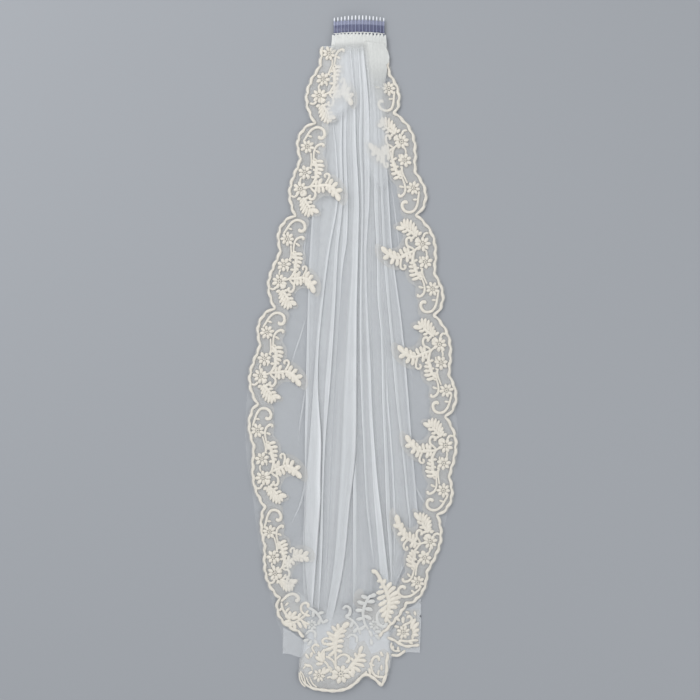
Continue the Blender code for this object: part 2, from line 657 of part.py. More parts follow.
def add_stroke(plan, spine, radius):
    """A raised cord along a spine."""
    spine = [Vector(point) for point in spine]
    left, right = [], []
    for k, point in enumerate(spine):
        along = (spine[min(k + 1, len(spine) - 1)] - spine[max(k - 1, 0)]).normalized()
        out = Vector((-along.y, along.x)) * radius
        left.append(point + out)
        right.append(point - out)
    head = spine[-1] + (spine[-1] - spine[-2]).normalized() * radius
    tail = spine[0] - (spine[1] - spine[0]).normalized() * radius
    plan.closed([tail] + right + [head] + list(reversed(left)))
    plan.chain(spine, rise=RELIEF)


def add_spray(plan, spine, pairs, leaf):
    """A leafy sprig: leaflets in pairs along a stem and one at its end."""
    spine = [Vector(point) for point in spine]
    stem = [(spine[k] - spine[k + 1]).length for k in range(len(spine) - 1)]
    length = sum(stem)

    def along(distance):
        k = 0
        while k < len(stem) - 1 and distance > stem[k]:
            distance -= stem[k]
            k += 1
        direction = (spine[k + 1] - spine[k]).normalized()
        return spine[k] + direction * distance, direction

    sides = {1: [], -1: []}
    mids = []
    pitch = length / pairs
    for k in range(pairs):
        root, _ = along(k * pitch)
        centre, direction = along((k + 0.5) * pitch)
        for side in (1, -1):
            out = Vector((-direction.y, direction.x)) * side
            reach = leaf * (1.0 - LEAF_TAPER * k / pairs)
            tip = centre + (out * LEAF_OUT + direction * LEAF_ON) * reach
            sides[side] += [root + out * STEM_HALF, tip]
            mids.append(centre.lerp(tip, 0.5))
    end, direction = along(length)
    head = direction * leaf * END_LEAF
    shoulder = Vector((-direction.y, direction.x)) * STEM_HALF
    plan.closed(sides[-1] + [end - shoulder, end + head, end + shoulder] + sides[1][::-1])
    for point in mids + [end + head / 3]:
        plan.chain([point], rise=RELIEF)


def add_climb(plan):
    """Lines along the pleated middle's edges, where the lace climbs over its folds."""
    for side, inward in ((0, 1), (1, -1)):
        for inside in CLIMB_LINES:
            plan.inner_chain([(middle(y)[side] + inward * inside, y) for y in MIDDLE_ROWS])


def make_trim(name, run):
    """One side's lace: scalloped ground with a corded edge, and the repeats' raised motifs."""
    step = 1.0 / (SMALL_SCALLOPS * SCALLOP_POINTS)
    places = [run.start] + [k * step for k in range(int(run.start / step) + 1,
                                                    int(run.end / step) + 1)] + [run.end]
    edge = [edge_point(run, place) for place in places]
    inner = []
    for repeat in range(len(run.notches) - 1):
        for s, t in LACE_INNER:
            if run.inner_start <= repeat + s / REPEAT <= run.inner_end:
                inner.append(tuple(trim_point(run, repeat, s, t)))
    if run.strip:
        inner += [edge_point(run, place, STRIP_WIDTH) for place in places
                  if place > run.inner_end + 0.05]
    plan = Plan(edge + list(reversed(inner)))
    spine_places = places[1:-1]
    plan.chain([edge_point(run, place, CORD_RADIUS) for place in spine_places], rise=RELIEF)
    plan.chain([edge_point(run, place, 2 * CORD_RADIUS) for place in spine_places[::2]])
    for repeat in range(len(run.notches) - 1):
        def drawn(low, high):
            start, end = repeat + low / REPEAT, repeat + high / REPEAT
            return start >= run.inner_start and end <= run.inner_end

        for flower in FLOWERS:
            if drawn(flower.x - flower.radius / 2, flower.x + flower.radius * 0.8):
                centre = trim_point(run, repeat, flower.x, flower.y)
                add_flower(plan, centre, flower.radius, turn=flower.x)
        for spray in SPRAYS:
            if drawn(min(p[0] for p in spray.spine), max(p[0] for p in spray.spine)):
                spine = [trim_point(run, repeat, s, t) for s, t in spray.spine]
                add_spray(plan, spine, spray.pairs, spray.leaf)
        for scroll in SCROLLS:
            if drawn(min(p[0] for p in scroll.spine), max(p[0] for p in scroll.spine)):
                spine = [trim_point(run, repeat, s, t) for s, t in scroll.spine]
                add_stroke(plan, spine, scroll.radius)
    add_climb(plan)
    plan.arch_lattice()
    lace_layer(name, plan)


def offset_line(line, distance):
    """A broken line moved to its left."""
    line = [Vector(point) for point in line]
    moved = []
    for k, point in enumerate(line):
        along = (line[min(k + 1, len(line) - 1)] - line[max(k - 1, 0)]).normalized()
        moved.append(point + Vector((-along.y, along.x)) * distance)
    return moved


def make_patch(name, edge, inner, flowers, sprays, scrolls):
    """A piece of the lace drawn in the veil's own x and y, corded along `edge`."""
    plan = Plan(list(edge) + list(inner))
    plan.chain(offset_line(edge, CORD_RADIUS)[1:-1], rise=RELIEF)
    plan.chain(offset_line(edge, 2 * CORD_RADIUS)[1:-1])
    for flower in flowers:
        add_flower(plan, Vector((flower.x, flower.y)), flower.radius)
    for spray in sprays:
        add_spray(plan, spray.spine, spray.pairs, spray.leaf)
    for scroll in scrolls:
        add_stroke(plan, scroll.spine, scroll.radius)
    add_climb(plan)
    lace_layer(name, plan)


def make_lace():
    make_trim("lace_left", LEFT_RUN)
    make_trim("lace_right", RIGHT_RUN)
    make_patch("lace_tail", HEM, tuple(reversed(HEM_INNER)), HEM_FLOWERS, HEM_SPRAYS, HEM_SCROLLS)
    make_patch("lace_fold", CORNER_EDGE, CORNER_INNER, CORNER_FLOWERS, (), CORNER_SCROLLS)


# ---------------------------------------------------------------- comb and heading
def make_comb():
    """Fifteen tapered teeth on a spine, bent to the head."""
    pitch = (COMB_WIDTH - TOOTH_ROOT) / (TEETH - 1)
    left = COMB_X - COMB_WIDTH / 2
    spine_end = SPINE_Y + SPINE_DEPTH
    outline = []
    for k in range(TEETH):
        x = left + TOOTH_ROOT / 2 + k * pitch
        across = (x - COMB_X) / (COMB_WIDTH / 2)
        end = TOOTH_END - TOOTH_BOW * across ** 2
        shoulder = end - TOOTH_POINT
        outline += [(x - TOOTH_ROOT / 2, spine_end), (x - TOOTH_TIP / 2, shoulder), (x, end),
                    (x + TOOTH_TIP / 2, shoulder), (x + TOOTH_ROOT / 2, spine_end)]
    outline += [(left + COMB_WIDTH * (1.0 - k / SPINE_PARTS), SPINE_Y)
                for k in range(SPINE_PARTS + 1)]
    plan = Plan(outline[::-1], follows_arch=False)
    points, _, tops, _, _ = plan.triangulate()
    verts = [(x, y, COMB_HIGH + arch(x)) for x, y in points]
    low = len(verts)
    verts += [(x, y, COMB_LOW + arch(x)) for x, y in points]
    faces = [tuple(triangle) for triangle in tops]
    faces += [tuple(low + k for k in reversed(triangle)) for triangle in tops]
    faces += [(low + a, low + b, b, a) for a, b in rim(tops)]
    add_object("comb", verts, faces, PLASTIC, roughness=0.15)


def make_heading():
    """The tulle's gathered top edge, folded over the comb's spine and open towards the teeth."""
    stations = 2 * HEADING_GATHERS + 1
    slot_low = HEADING_WALL
    slot_high = HEADING_HEIGHT - HEADING_WALL
    slot_y = HEADING_LOW_Y + HEADING_WALL
    verts = []
    for k in range(stations):
        x = HEADING_LEFT + (HEADING_RIGHT - HEADING_LEFT) * k / (stations - 1)
        ruffle = GATHER_RISE if k % 2 else 0.0
        ring = ((HEADING_HIGH_Y, HEADING_HEIGHT + ruffle), (HEADING_HIGH_Y, slot_high),
                (slot_y, slot_high), (slot_y, slot_low), (HEADING_HIGH_Y, slot_low),
                (HEADING_HIGH_Y, 0.0), (HEADING_LOW_Y + HEADING_BEND, 0.0),
                (HEADING_LOW_Y, HEADING_BEND), (HEADING_LOW_Y, HEADING_HEIGHT - HEADING_BEND),
                (HEADING_LOW_Y + HEADING_BEND, HEADING_HEIGHT + ruffle))
        verts += [(x, y, z + arch(x)) for y, z in ring]
    sides = len(verts) // stations
    faces = [tuple(range(sides))]
    faces.append(tuple(reversed(range((stations - 1) * sides, stations * sides))))
    for k in range(stations - 1):
        for j in range(sides):
            a, b = k * sides + j, k * sides + (j + 1) % sides
            faces.append((b, a, a + sides, b + sides))
    node = add_object("heading", verts, faces, GATHERED)
    shape = bmesh.new()
    shape.from_mesh(node.data)
    bmesh.ops.recalc_face_normals(shape, faces=shape.faces)
    bmesh.ops.triangulate(shape, faces=shape.faces)
    shape.to_mesh(node.data)
    shape.free()


def make_corners():
    for name, outline in (("fold_left", FOLD_LEFT), ("fold_right", FOLD_RIGHT)):
        flat_layer(name, Plan(list(reversed(outline))), FRONT_Z)


def main():
    for node in list(bpy.data.objects):
        bpy.data.objects.remove(node, do_unlink=True)
    make_comb()
    make_heading()
    make_back()
    make_front("left_front", LEFT_RUN, 0)
    make_front("right_front", RIGHT_RUN, 1)
    make_corners()
    make_hidden()
    make_pleats()
    make_lace()


main()
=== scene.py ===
"""Dresses the bridal veil: sheer tulle in layers and folds, corded lace and a clear comb.

Tables and heights are in millimetres in the veil's own frame, with the comb at +Y, the veil running
down to -Y, +Z up and the origin on the table.  MM turns them into metres as a mesh is made.
"""

import math
import random
from collections import namedtuple

import bmesh
import bpy
import numpy as np
from bpy.props import FloatProperty, FloatVectorProperty, IntProperty, PointerProperty
from bpy.types import Operator, Panel, PropertyGroup
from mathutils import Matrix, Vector
from mathutils.geometry import delaunay_2d_cdt


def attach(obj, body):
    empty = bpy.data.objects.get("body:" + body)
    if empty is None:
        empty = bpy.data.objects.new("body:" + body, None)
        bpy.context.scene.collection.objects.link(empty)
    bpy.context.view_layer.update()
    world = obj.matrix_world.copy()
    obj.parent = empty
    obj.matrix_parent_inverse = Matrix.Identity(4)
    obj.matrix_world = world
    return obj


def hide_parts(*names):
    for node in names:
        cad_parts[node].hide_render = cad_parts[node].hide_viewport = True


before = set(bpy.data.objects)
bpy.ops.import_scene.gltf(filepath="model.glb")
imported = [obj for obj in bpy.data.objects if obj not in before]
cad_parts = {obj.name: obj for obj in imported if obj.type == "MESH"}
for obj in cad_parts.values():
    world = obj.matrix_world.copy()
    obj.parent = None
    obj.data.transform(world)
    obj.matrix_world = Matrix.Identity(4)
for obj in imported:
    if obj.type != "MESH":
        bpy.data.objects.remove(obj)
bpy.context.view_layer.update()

bl_info = {
    "name": "Bridal Veil",
    "version": (1, 0, 0),
    "blender": (4, 5, 0),
    "location": "View3D > Sidebar > Veil",
    "description": "Builds a lace-bordered tulle veil on a clear comb, laid flat",
    "category": "Object",
}

MM = 0.001

# ---- heights of the layers above the table
BACK_Z = 0.5
FRONT_Z = 1.9
HIDDEN_Z = 2.4
PLEAT_Z = 3.1
LACE_Z = 3.3
ROOM = 1.6              # between the pleated middle and the lace, at its edge
ROOM_REACH = 30.0       # over this width the room grows to the folds' full height
CLIMB = 8.0             # the lace starts to climb this far outside the pleated middle
LACE_OVER = 0.5         # from the folds' highest crests to the lace's ground
NET_DROP = 0.15         # the lace's net lies this far under its motifs' feet
GHOST_DROP = 0.1        # the lace of a layer under the tail lies this far under the tail's own
GHOST_THICK = 0.4
HAZE_LIFT = 1.5         # from the lace's ground to the loose tulle over it
HAZE_UNDER = -0.4       # and to the loose tulle just under it
CREASE_LIFT = 0.1
CORNER_LIFT = 0.4

# ---- the comb and its heading
COMB_X = 11.8
COMB_WIDTH = 80.0
COMB_Z = 3.4
ARCH_RISE = 8.5
SPINE_Y = 485.1
SPINE_DEPTH = 9.0
SPINE_THICK = 2.2
SPINE_ROUND = 0.8
TOOTH_HALF = 1.3
TOOTH_SIDES = 10
TOOTH_SUNK = 1.0        # the teeth start this far inside the spine
TOOTH_END = 527.4
TOOTH_BOW = 1.6         # the outer teeth end this much lower than the middle ones
FIRST_TOOTH = COMB_X - COMB_WIDTH / 2 + TOOTH_HALF
WEB_LOW_Y = 492.5
WEB_INSET = 1.0
WEB_THICK = 0.5
WEB_DROP = 0.3          # the web lies this far under the teeth's middle
FROST_Y = 512.5         # above this the plastic between the teeth is frosted
FROST_FADE = 1.6
WEB_TOP_Y = 519.5       # above this the teeth stand free
TIP_FADE = 2.5
BEND_PARTS = 24         # flat strips that make up the comb's bend
HEADING_LEFT = -30.6
HEADING_RIGHT = 54.2
HEADING_LOW_Y = 482.8
HEADING_HIGH_Y = 498.5
HEADING_HEIGHT = 6.8
ARCH_HALF = (HEADING_RIGHT - HEADING_LEFT) / 2
SEAM_Y = HEADING_LOW_Y - 0.4
FALL_Y = 400.0

# ---- the pleated middle: edges, mound of the layers under it, height of its folds
Span = namedtuple("Span", "y left right mound fold")
MIDDLE = (
    Span(482.4, -25.1, 51.0, 0.0, 2.3),
    Span(460.8, -23.6, 51.0, 0.5, 2.6),
    Span(416.8, -32.2, 50.2, 1.2, 3.2),
    Span(379.2, -46.3, 49.5, 1.8, 3.6),
    Span(272.4, -58.9, 58.1, 2.5, 4.5),
    Span(162.5, -66.7, 65.2, 3.0, 5.0),
    Span(68.3, -69.9, 76.1, 3.0, 5.0),
    Span(-10.2, -73.0, 85.6, 3.0, 5.0),
    Span(-104.4, -73.8, 93.4, 3.0, 5.0),
    Span(-198.6, -74.5, 101.3, 3.0, 5.0),
    Span(-277.1, -76.5, 103.6, 2.8, 4.5),
    Span(-324.2, -76.0, 87.1, 2.4, 3.6),
    Span(-371.3, -74.0, 66.7, 1.8, 2.5),
    Span(-418.4, -74.5, 62.0, 0.8, 1.2),
    Span(-449.8, -76.1, 62.0, 0.2, 0.8),
    Span(-478.1, -82.4, 62.0, 0.0, 0.6),
    Span(-500.0, -83.2, 57.3, 0.0, 0.5),
)
MOUND_INSET = 24.0
HEM_Y = -500.0          # where the folds would end if the hem were straight
HEM_STRETCH_Y = -440.0  # from here down they bend to the hem's own line

# ---- its folds, left to right: share of the height, the side of the crest (1 right, -1 left),
# and the path of each as (y, left edge, width)
Tuck = namedtuple("Tuck", "height side path")
TUCKS = (
    Tuck(0.55, -1, ((482, -24.6, 1.6), (379, -43.2, 2.4), (272, -57.3, 2.4), (162, -65.2, 2.4),
                    (53, -69.1, 2.4), (-57, -71.4, 3.1), (-136, -73, 2.4), (-199, -73.3, 1.4),
                    (-324, -76.1, 1.2), (-450, -74.6, 1.2), (-500, -82.0, 1.2))),
    Tuck(0.8, 1, ((482, -19.6, 1.6), (379, -30.6, 1.6), (319, -25.9, 2.4), (241, -24.3, 3.1),
                  (161, -37.7, 3.1), (84, -47.9, 3.6), (5, -55.3, 3.8), (-57, -60.1, 7.9),
                  (-136, -65.9, 18.8), (-194, -71.0, 22.8), (-230, -72.4, 24.3),
                  (-324, -73, 18.1), (-387, -67.8, 7.9), (-418, -65.2, 1.6), (-500, -65.2, 0.5))),
    Tuck(0.9, 1, ((482, -13.3, 1.6), (379, -16.5, 2.4), (319, -18.1, 3.1), (241, -18.1, 4.7),
                  (161, -25.9, 4.7), (84, -29.8, 4.7), (5, -36.1, 6.3), (-57, -41.1, 7.1),
                  (-136, -44.4, 3.6), (-230, -47.4, 2.8), (-298, -49.5, 3.9), (-349, -51, 3.1),
                  (-400, -52.6, 1.6), (-500, -52.6, 0.5))),
    Tuck(0.6, 1, ((482, -7.9, 1.6), (398, -10.2, 3.1), (319, -11.8, 3.9), (241, -11, 5.5),
                  (178, -13.3, 6.3), (137, -16.5, 3.1), (84, -18.1, 0.8), (-73, -27.5, 0.5),
                  (-500, -45.5, 0.3))),
    Tuck(1.0, 1, ((482, -3.9, 2.4), (398, 1.6, 3.9), (335, 0.8, 6.3), (241, 3.9, 7.9),
                  (178, 1.6, 9.4), (137, 1.6, 8.3), (71, -3, 11.5), (20, -5.8, 14.1),
                  (-42, -9.6, 17.7), (-137, -14, 21.5), (-180, -16, 20.4), (-230, -19.2, 17.3),
                  (-324, -26.7, 15.7), (-395, -37.7, 13.3), (-426, -42.7, 10.6),
                  (-466, -42.5, 3.1), (-500, -40.3, 0.5))),
    Tuck(0.7, -1, ((482, 1.6, 1.3), (398, 7.1, 0.8), (84, 10.2, 0.5), (-136, 8.3, 0.5),
                   (-159, 6, 1.6), (-194, 3, 3.5), (-230, 2.7, 4.7), (-349, 2.8, 2.5),
                   (-450, 1.7, 1.9), (-500, 1.6, 0.6))),
    Tuck(0.8, -1, ((482, 9.4, 1.9), (398, 13.3, 3.9), (335, 11.8, 4.7), (241, 15.7, 3.1),
                   (137, 14.1, 3.1), (53, 13, 3.1), (-26, 13.8, 3.6), (-123, 17.4, 3.1),
                   (-230, 22.8, 2.4), (-290, 29, 2.4), (-335, 34.5, 0.8), (-387, 32.2, 0.5),
                   (-500, 22.8, 0.5))),
    Tuck(1.0, 1, ((482, 15.7, 2.4), (398, 19.6, 7.1), (335, 20.4, 7.9), (241, 21.2, 7.1),
                  (162, 19.6, 3.9), (84, 21.2, 3.5), (-26, 25.6, 4.4), (-89, 27.8, 4.4),
                  (-166, 32.2, 5.5), (-208, 34.2, 7.4), (-290, 40.7, 10.5), (-371, 46, 12.3),
                  (-411, 43.2, 6.3), (-450, 38.5, 1.6), (-500, 29, 0.5))),
    Tuck(0.5, 1, ((482, 22, 1.9), (398, 29, 1.3), (319, 30.6, 0.8), (84, 30.6, 0.5),
                  (-50, 34.0, 0.4), (-200, 43.5, 0.4), (-290, 52.5, 0.4), (-500, 33.8, 0.3))),
    Tuck(0.9, -1, ((482, 27.5, 2.4), (398, 33.8, 3.9), (319, 35, 6.3), (241, 35.3, 6.3),
                   (162, 39.2, 4.7), (84, 41, 4.1), (32, 45.7, 3.8), (-81, 48.5, 4.1),
                   (-137, 50.7, 4.7), (-194, 52.6, 5.7), (-246, 54.2, 6.3), (-290, 57.3, 5),
                   (-324, 59.8, 3.8), (-363, 60.8, 2.4), (-418, 50.7, 0.8), (-500, 42.7, 0.5))),
    Tuck(0.7, 1, ((482, 33, 1.3), (241, 43.2, 0.9), (84, 50.2, 0.9), (-26, 54.2, 1.3),
                  (-71, 54.6, 2.8), (-137, 59.8, 2.8), (-180, 62.6, 2.8), (-246, 65.8, 2.7),
                  (-293, 66.7, 1.9), (-363, 63.7, 0.6), (-500, 48, 0.5))),
    Tuck(0.7, -1, ((482, 38.5, 2.4), (398, 40, 2.4), (241, 46.3, 3.1), (162, 49.5, 3.9),
                   (84, 55.7, 4.1), (5, 63, 3.8), (-75, 69.9, 3.1), (-123, 75.7, 3.1),
                   (-173, 81.3, 3), (-222, 85.6, 3), (-277, 90.3, 1.9), (-324, 79.3, 0.9),
                   (-371, 65.5, 0.6), (-500, 51.7, 0.5))),
    Tuck(0.5, 1, ((482, 46.5, 1.6), (379, 46.3, 1.6), (272, 55, 1.9), (162, 62, 2),
                  (53, 75.5, 2.5), (-26, 82.9, 2.8), (-136, 91.8, 2.5), (-222, 98.8, 2.5),
                  (-277, 102, 1.6), (-324, 84, 1.2), (-387, 62, 1.2), (-500, 56, 1.2))),
)

# ---- one fold's section, in the order the cloth runs: shares of its width, height and cover
Bend = namedtuple("Bend", "across lift cover")
TUCK_SHAPE = (Bend(0.0, 0.42, 1.3), Bend(0.3, 0.66, 1.2), Bend(0.62, 0.88, 1.3),
              Bend(0.88, 1.0, 2.0), Bend(1.0, 0.9, 2.7), Bend(0.9, 0.74, 1.5), Bend(0.5, 0.58, 1.2),
              Bend(0.12, 0.4, 1.2), Bend(0.0, 0.27, 2.1), Bend(0.1, 0.12, 1.4),
              Bend(0.45, 0.05, 1.1), Bend(1.0, 0.0, 0.9))
EDGE_BENDS = 9          # the outer folds have only their upper two layers
VALLEY = (0.1, 0.26, 0.5, 0.74, 0.9)
VALLEY_COVER = 0.88
VALLEY_CURVE = 2.5      # how sharply a valley dips between two folds
NARROWEST_FOLD = 0.3
NARROWEST_GAP = 0.7
FULL_WIDTH = 3.0        # a narrower fold stands less high and hides less
NARROW_STAND = 0.15     # share of the height that the narrowest fold keeps
NARROW_LOSS = 0.45      # share of the cover that it loses
FOLD_BASE = 0.25
FOLD_STAND = 0.4
CREST_GAP = 0.3         # between a crest and the room left for it under the lace
FOLD_CLOTH = 1.6        # cloth between two lines of the folds, for the pattern along them
ROW_STEP = 7.0
PLEAT_TOP_Y = 484.8     # the folds run on under the heading

# ---- how much a layer hides, down the veil
PLEAT_COVER = ((-500, 0.3), (-420, 0.33), (-230, 0.36), (100, 0.37), (250, 0.4), (340, 0.46),
               (400, 0.53), (440, 0.62), (482, 0.7))
HIDDEN_COVER = ((-500, 0.14), (-400, 0.24), (-300, 0.29), (100, 0.34), (300, 0.42), (400, 0.5),
                (482, 0.58))
SIDE_COVER = ((-530, 0.17), (300, 0.17), (380, 0.2), (440, 0.3), (482, 0.6))
CREASE_COVER = 0.4
CORNER_COVER = 0.4

# ---- how much the folds' own cover stands out from it, down the veil
FOLD_CONTRAST = ((-500, 0.8), (-250, 0.92), (50, 0.85), (200, 0.62), (330, 0.45), (482, 0.38))

# ---- how closely the points of each sheet lie
TULLE_SPACING = 9.0
HIDDEN_SPACING = 8.0
CORNER_SPACING = 6.0
CREASE_SPACING = 6.0
NET_SPACING = 5.0
FLAP_SPACING = 4.5
FLOUNCE_SPACING = 2.6
EDGE_STEPS = 150
COLUMN_STEPS = 60

# ---- outlines of what lies flat
HEM = ((-83.2, -500.0), (-77.7, -515.7), (-63.6, -526.0), (-41.6, -529.9), (-22.8, -530.7),
       (-5.5, -526.7), (8.6, -517.3), (21.2, -505.5), (33.8, -511.0), (47.9, -522.0),
       (57.3, -503.2))
BACK_LEFT = ((-27.0, SEAM_Y), (-40.0, 466.0), (-44.0, 425.0), (-55.0, 362.0), (-74.0, 290.0),
             (-86.0, 217.0), (-103.0, 145.0), (-118.0, 71.4), (-140.0, 5.0), (-163.3, -54.2),
             (-168.0, -120.1), (-164.9, -167.2), (-154.6, -230.0), (-146.8, -292.8),
             (-135.8, -347.8), (-126.4, -383.9), (-118.5, -415.3), (-109.9, -437.2),
             (-109.1, -471.8), (-96.6, -472.6), (-84.0, -477.5), (-79.5, -484.0))
BACK_HEM = ((-79.0, -499.0), (-74.0, -512.0), (-62.0, -521.0), (-41.0, -525.5), (-23.0, -526.0),
            (-7.5, -522.0), (6.0, -513.0), (21.0, -500.5), (34.0, -506.0), (46.0, -516.0),
            (54.0, -501.0))
BACK_RIGHT = ((52.5, SEAM_Y), (53.0, 440.0), (65.0, 377.6), (84.0, 297.0), (99.0, 217.5),
              (115.0, 140.0), (127.0, 60.4), (147.0, 0.0), (160.0, -60.0), (166.8, -118.5),
              (167.6, -151.5), (162.5, -190.8), (148.4, -261.4), (138.2, -297.5),
              (129.5, -316.4), (119.3, -335.2), (110.7, -352.0), (109.9, -387.0),
              (107.5, -470.2), (87.1, -469.4), (73.0, -474.9), (60.0, -479.0))
FOLD_LEFT = ((-107.0, -430.0), (-96.5, -435.5), (-77.5, -448.5), (-60.0, -452.0),
             (-60.0, -478.0), (-80.0, -477.0), (-87.0, -475.0), (-96.6, -471.5),
             (-107.6, -470.5))
FOLD_RIGHT = ((56.0, -444.0), (66.5, -429.5), (76.0, -413.5), (84.5, -400.5), (95.5, -397.0),
              (108.6, -384.0), (109.2, -418.0), (107.0, -469.2), (87.1, -468.4), (73.0, -473.9),
              (56.0, -478.0))

# ---- loose tulle beside the pleated middle, over the lace or just under it
HAZE_UPPER_LEFT = ((-26.0, 478.0), (-34.0, 440.0), (-42.0, 405.0), (-54.0, 350.0), (-60.0, 300.0),
                   (-56.0, 240.0), (-46.0, 220.0), (-36.0, 290.0), (-24.0, 366.6),
                   (-10.0, 410.0), (-4.0, 440.0), (-3.0, 478.0))
HAZE_UPPER_RIGHT = ((26.0, 478.0), (25.0, 398.0), (14.0, 336.0), (20.0, 284.0), (44.0, 250.0),
                    (58.0, 262.0), (66.0, 300.0), (62.0, 350.0), (58.0, 416.8), (54.0, 478.0))
HAZE_TOP_LEFT = ((-20.0, 477.0), (-30.0, 458.0), (-32.0, 430.0), (-37.0, 408.0), (-47.0, 388.0),
                 (-46.0, 366.0), (-33.0, 355.0), (-14.0, 366.0), (5.0, 384.0), (11.0, 410.0),
                 (8.0, 440.0), (2.0, 477.0))
HAZE_LOWER_LEFT = ((-73.0, -256.0), (-84.0, -284.0), (-98.0, -296.0), (-107.0, -320.0),
                   (-111.0, -355.6), (-103.0, -388.0), (-84.0, -398.0), (-64.0, -392.0),
                   (-58.0, -330.0), (-62.0, -276.0))
HAZE_LOWER_RIGHT = ((30.0, -378.0), (42.0, -342.0), (62.0, -344.0), (80.0, -370.0),
                    (84.0, -405.8), (72.0, -432.0), (57.3, -446.0), (34.0, -452.0),
                    (24.0, -410.0))
HAZE_LEFT_END = ((-112.0, -382.0), (-100.0, -370.0), (-82.0, -368.0), (-62.0, -384.0),
                 (-54.0, -402.0), (-56.0, -430.0), (-74.0, -444.0), (-92.0, -436.0),
                 (-106.0, -424.0), (-112.0, -402.0))
HAZE_TAIL = ((-84.0, -486.0), (-75.0, -444.0), (-66.0, -408.0), (-42.0, -394.0), (-14.0, -390.0),
             (16.0, -382.0), (40.0, -376.0), (60.0, -398.0), (64.0, -440.0), (64.0, -484.0),
             (58.0, -503.0), (47.0, -520.0), (34.0, -509.0), (21.0, -503.0), (8.0, -514.0),
             (-6.0, -523.0), (-23.0, -527.0), (-42.0, -526.5), (-63.0, -522.5), (-76.0, -513.0))
Flap = namedtuple("Flap", "name outline lift cover fade flat area")
FLAPS = (
    Flap("upper_left_cover", HAZE_UPPER_LEFT, HAZE_UNDER, 0.34, 14.0, (0.032, 0.26), 0.0068),
    Flap("upper_right_cover", HAZE_UPPER_RIGHT, HAZE_LIFT, 0.36, 12.0, (0.042, 0.23), 0.0083),
    Flap("top_left_cover", HAZE_TOP_LEFT, HAZE_LIFT, 0.46, 17.0, (0.052, 0.12), 0.0049),
    Flap("lower_left_cover", HAZE_LOWER_LEFT, HAZE_LIFT, 0.2, 12.0, (0.05, 0.14), 0.0047),
    Flap("lower_right_cover", HAZE_LOWER_RIGHT, HAZE_UNDER, 0.4, 14.0, (0.055, 0.11), 0.0044),
    Flap("left_end_cover", HAZE_LEFT_END, HAZE_UNDER, 0.42, 11.0, (0.062, 0.078), 0.0035),
)
TAIL_FLAP = Flap("tail_cover", HAZE_TAIL, -0.45, 0.6, 9.0, (0.145, 0.13), 0.0155)
TAIL_TOP_Y = -380.0     # the tail's flap starts here and has its full cover TAIL_TOP_FADE below
TAIL_TOP_FADE = 58.0
TAIL_LOW_Y = -520.0     # beside the hem's cord it keeps only the share TAIL_LOW_SHARE
TAIL_LOW_FADE = 24.0
TAIL_LOW_SHARE = 0.3

# ---- thin creases in the sides' tulle, seen as bright lines: points and width
Crease = namedtuple("Crease", "points width")
CREASES = (
    Crease(((-64.0, -8.0), (-69.0, -36.0), (-75.5, -78.0), (-81.0, -112.0), (-84.5, -156.0)), 2.6),
    Crease(((-66.0, 76.0), (-72.0, 54.0), (-80.5, 26.0), (-91.0, -6.0), (-99.0, -40.0)), 2.4),
    Crease(((-66.7, -156.7), (-71.5, -195.0), (-78.3, -230.3), (-88.0, -254.0), (-101.0, -281.0)),
           3.0),
    Crease(((99.0, -200.0), (104.0, -216.0), (111.0, -229.0), (122.0, -246.0)), 3.0),
    Crease(((68.0, 60.0), (76.0, 34.0), (86.0, 2.0), (93.0, -26.0), (98.5, -60.0)), 2.4),
    Crease(((-57.8, -400.5), (-66.0, -423.0), (-76.5, -446.5)), 3.0),
    Crease(((-47.0, 372.0), (-56.0, 330.0), (-63.0, 280.0), (-72.0, 226.0)), 2.2),
    Crease(((-62.0, 236.0), (-72.0, 180.0), (-79.0, 120.0), (-92.0, 66.0)), 2.2),
    Crease(((56.0, 300.0), (66.0, 240.0), (74.0, 176.0), (84.0, 120.0)), 2.2),
    Crease(((62.8, -318.0), (72.0, -342.0), (78.5, -366.0)), 2.6),
)

# ---- broad soft ripples that every layer shares: from, to, height, half width
RIPPLE_END = 20.0       # a ripple runs on this far past its ends
RIPPLE_FADE = 60.0
RIPPLE_REACH = 2.6      # and this many half widths to each side
Ripple = namedtuple("Ripple", "x0 y0 x1 y1 height half")
RIPPLES = (
    Ripple(-116, 70, -137, -150, 1.1, 10), Ripple(-92, 170, -106, 10, 0.8, 8),
    Ripple(-96, -60, -104, -250, 0.9, 9), Ripple(-78, 310, -97, 150, 0.7, 8),
    Ripple(-54, 430, -70, 300, 0.6, 6), Ripple(-134, -250, -112, -400, 0.8, 9),
    Ripple(-152, -60, -150, -210, 0.5, 7), Ripple(-88, -330, -100, -440, 0.6, 8),
    Ripple(112, 60, 136, -140, 1.0, 10), Ripple(90, 180, 104, 20, 0.7, 8),
    Ripple(118, -60, 124, -250, 0.9, 9), Ripple(76, 330, 93, 160, 0.6, 8),
    Ripple(60, 440, 68, 340, 0.5, 6), Ripple(134, -240, 112, -340, 0.7, 9),
    Ripple(150, -70, 150, -190, 0.6, 7), Ripple(-40, -470, -10, -520, 0.5, 9),
)

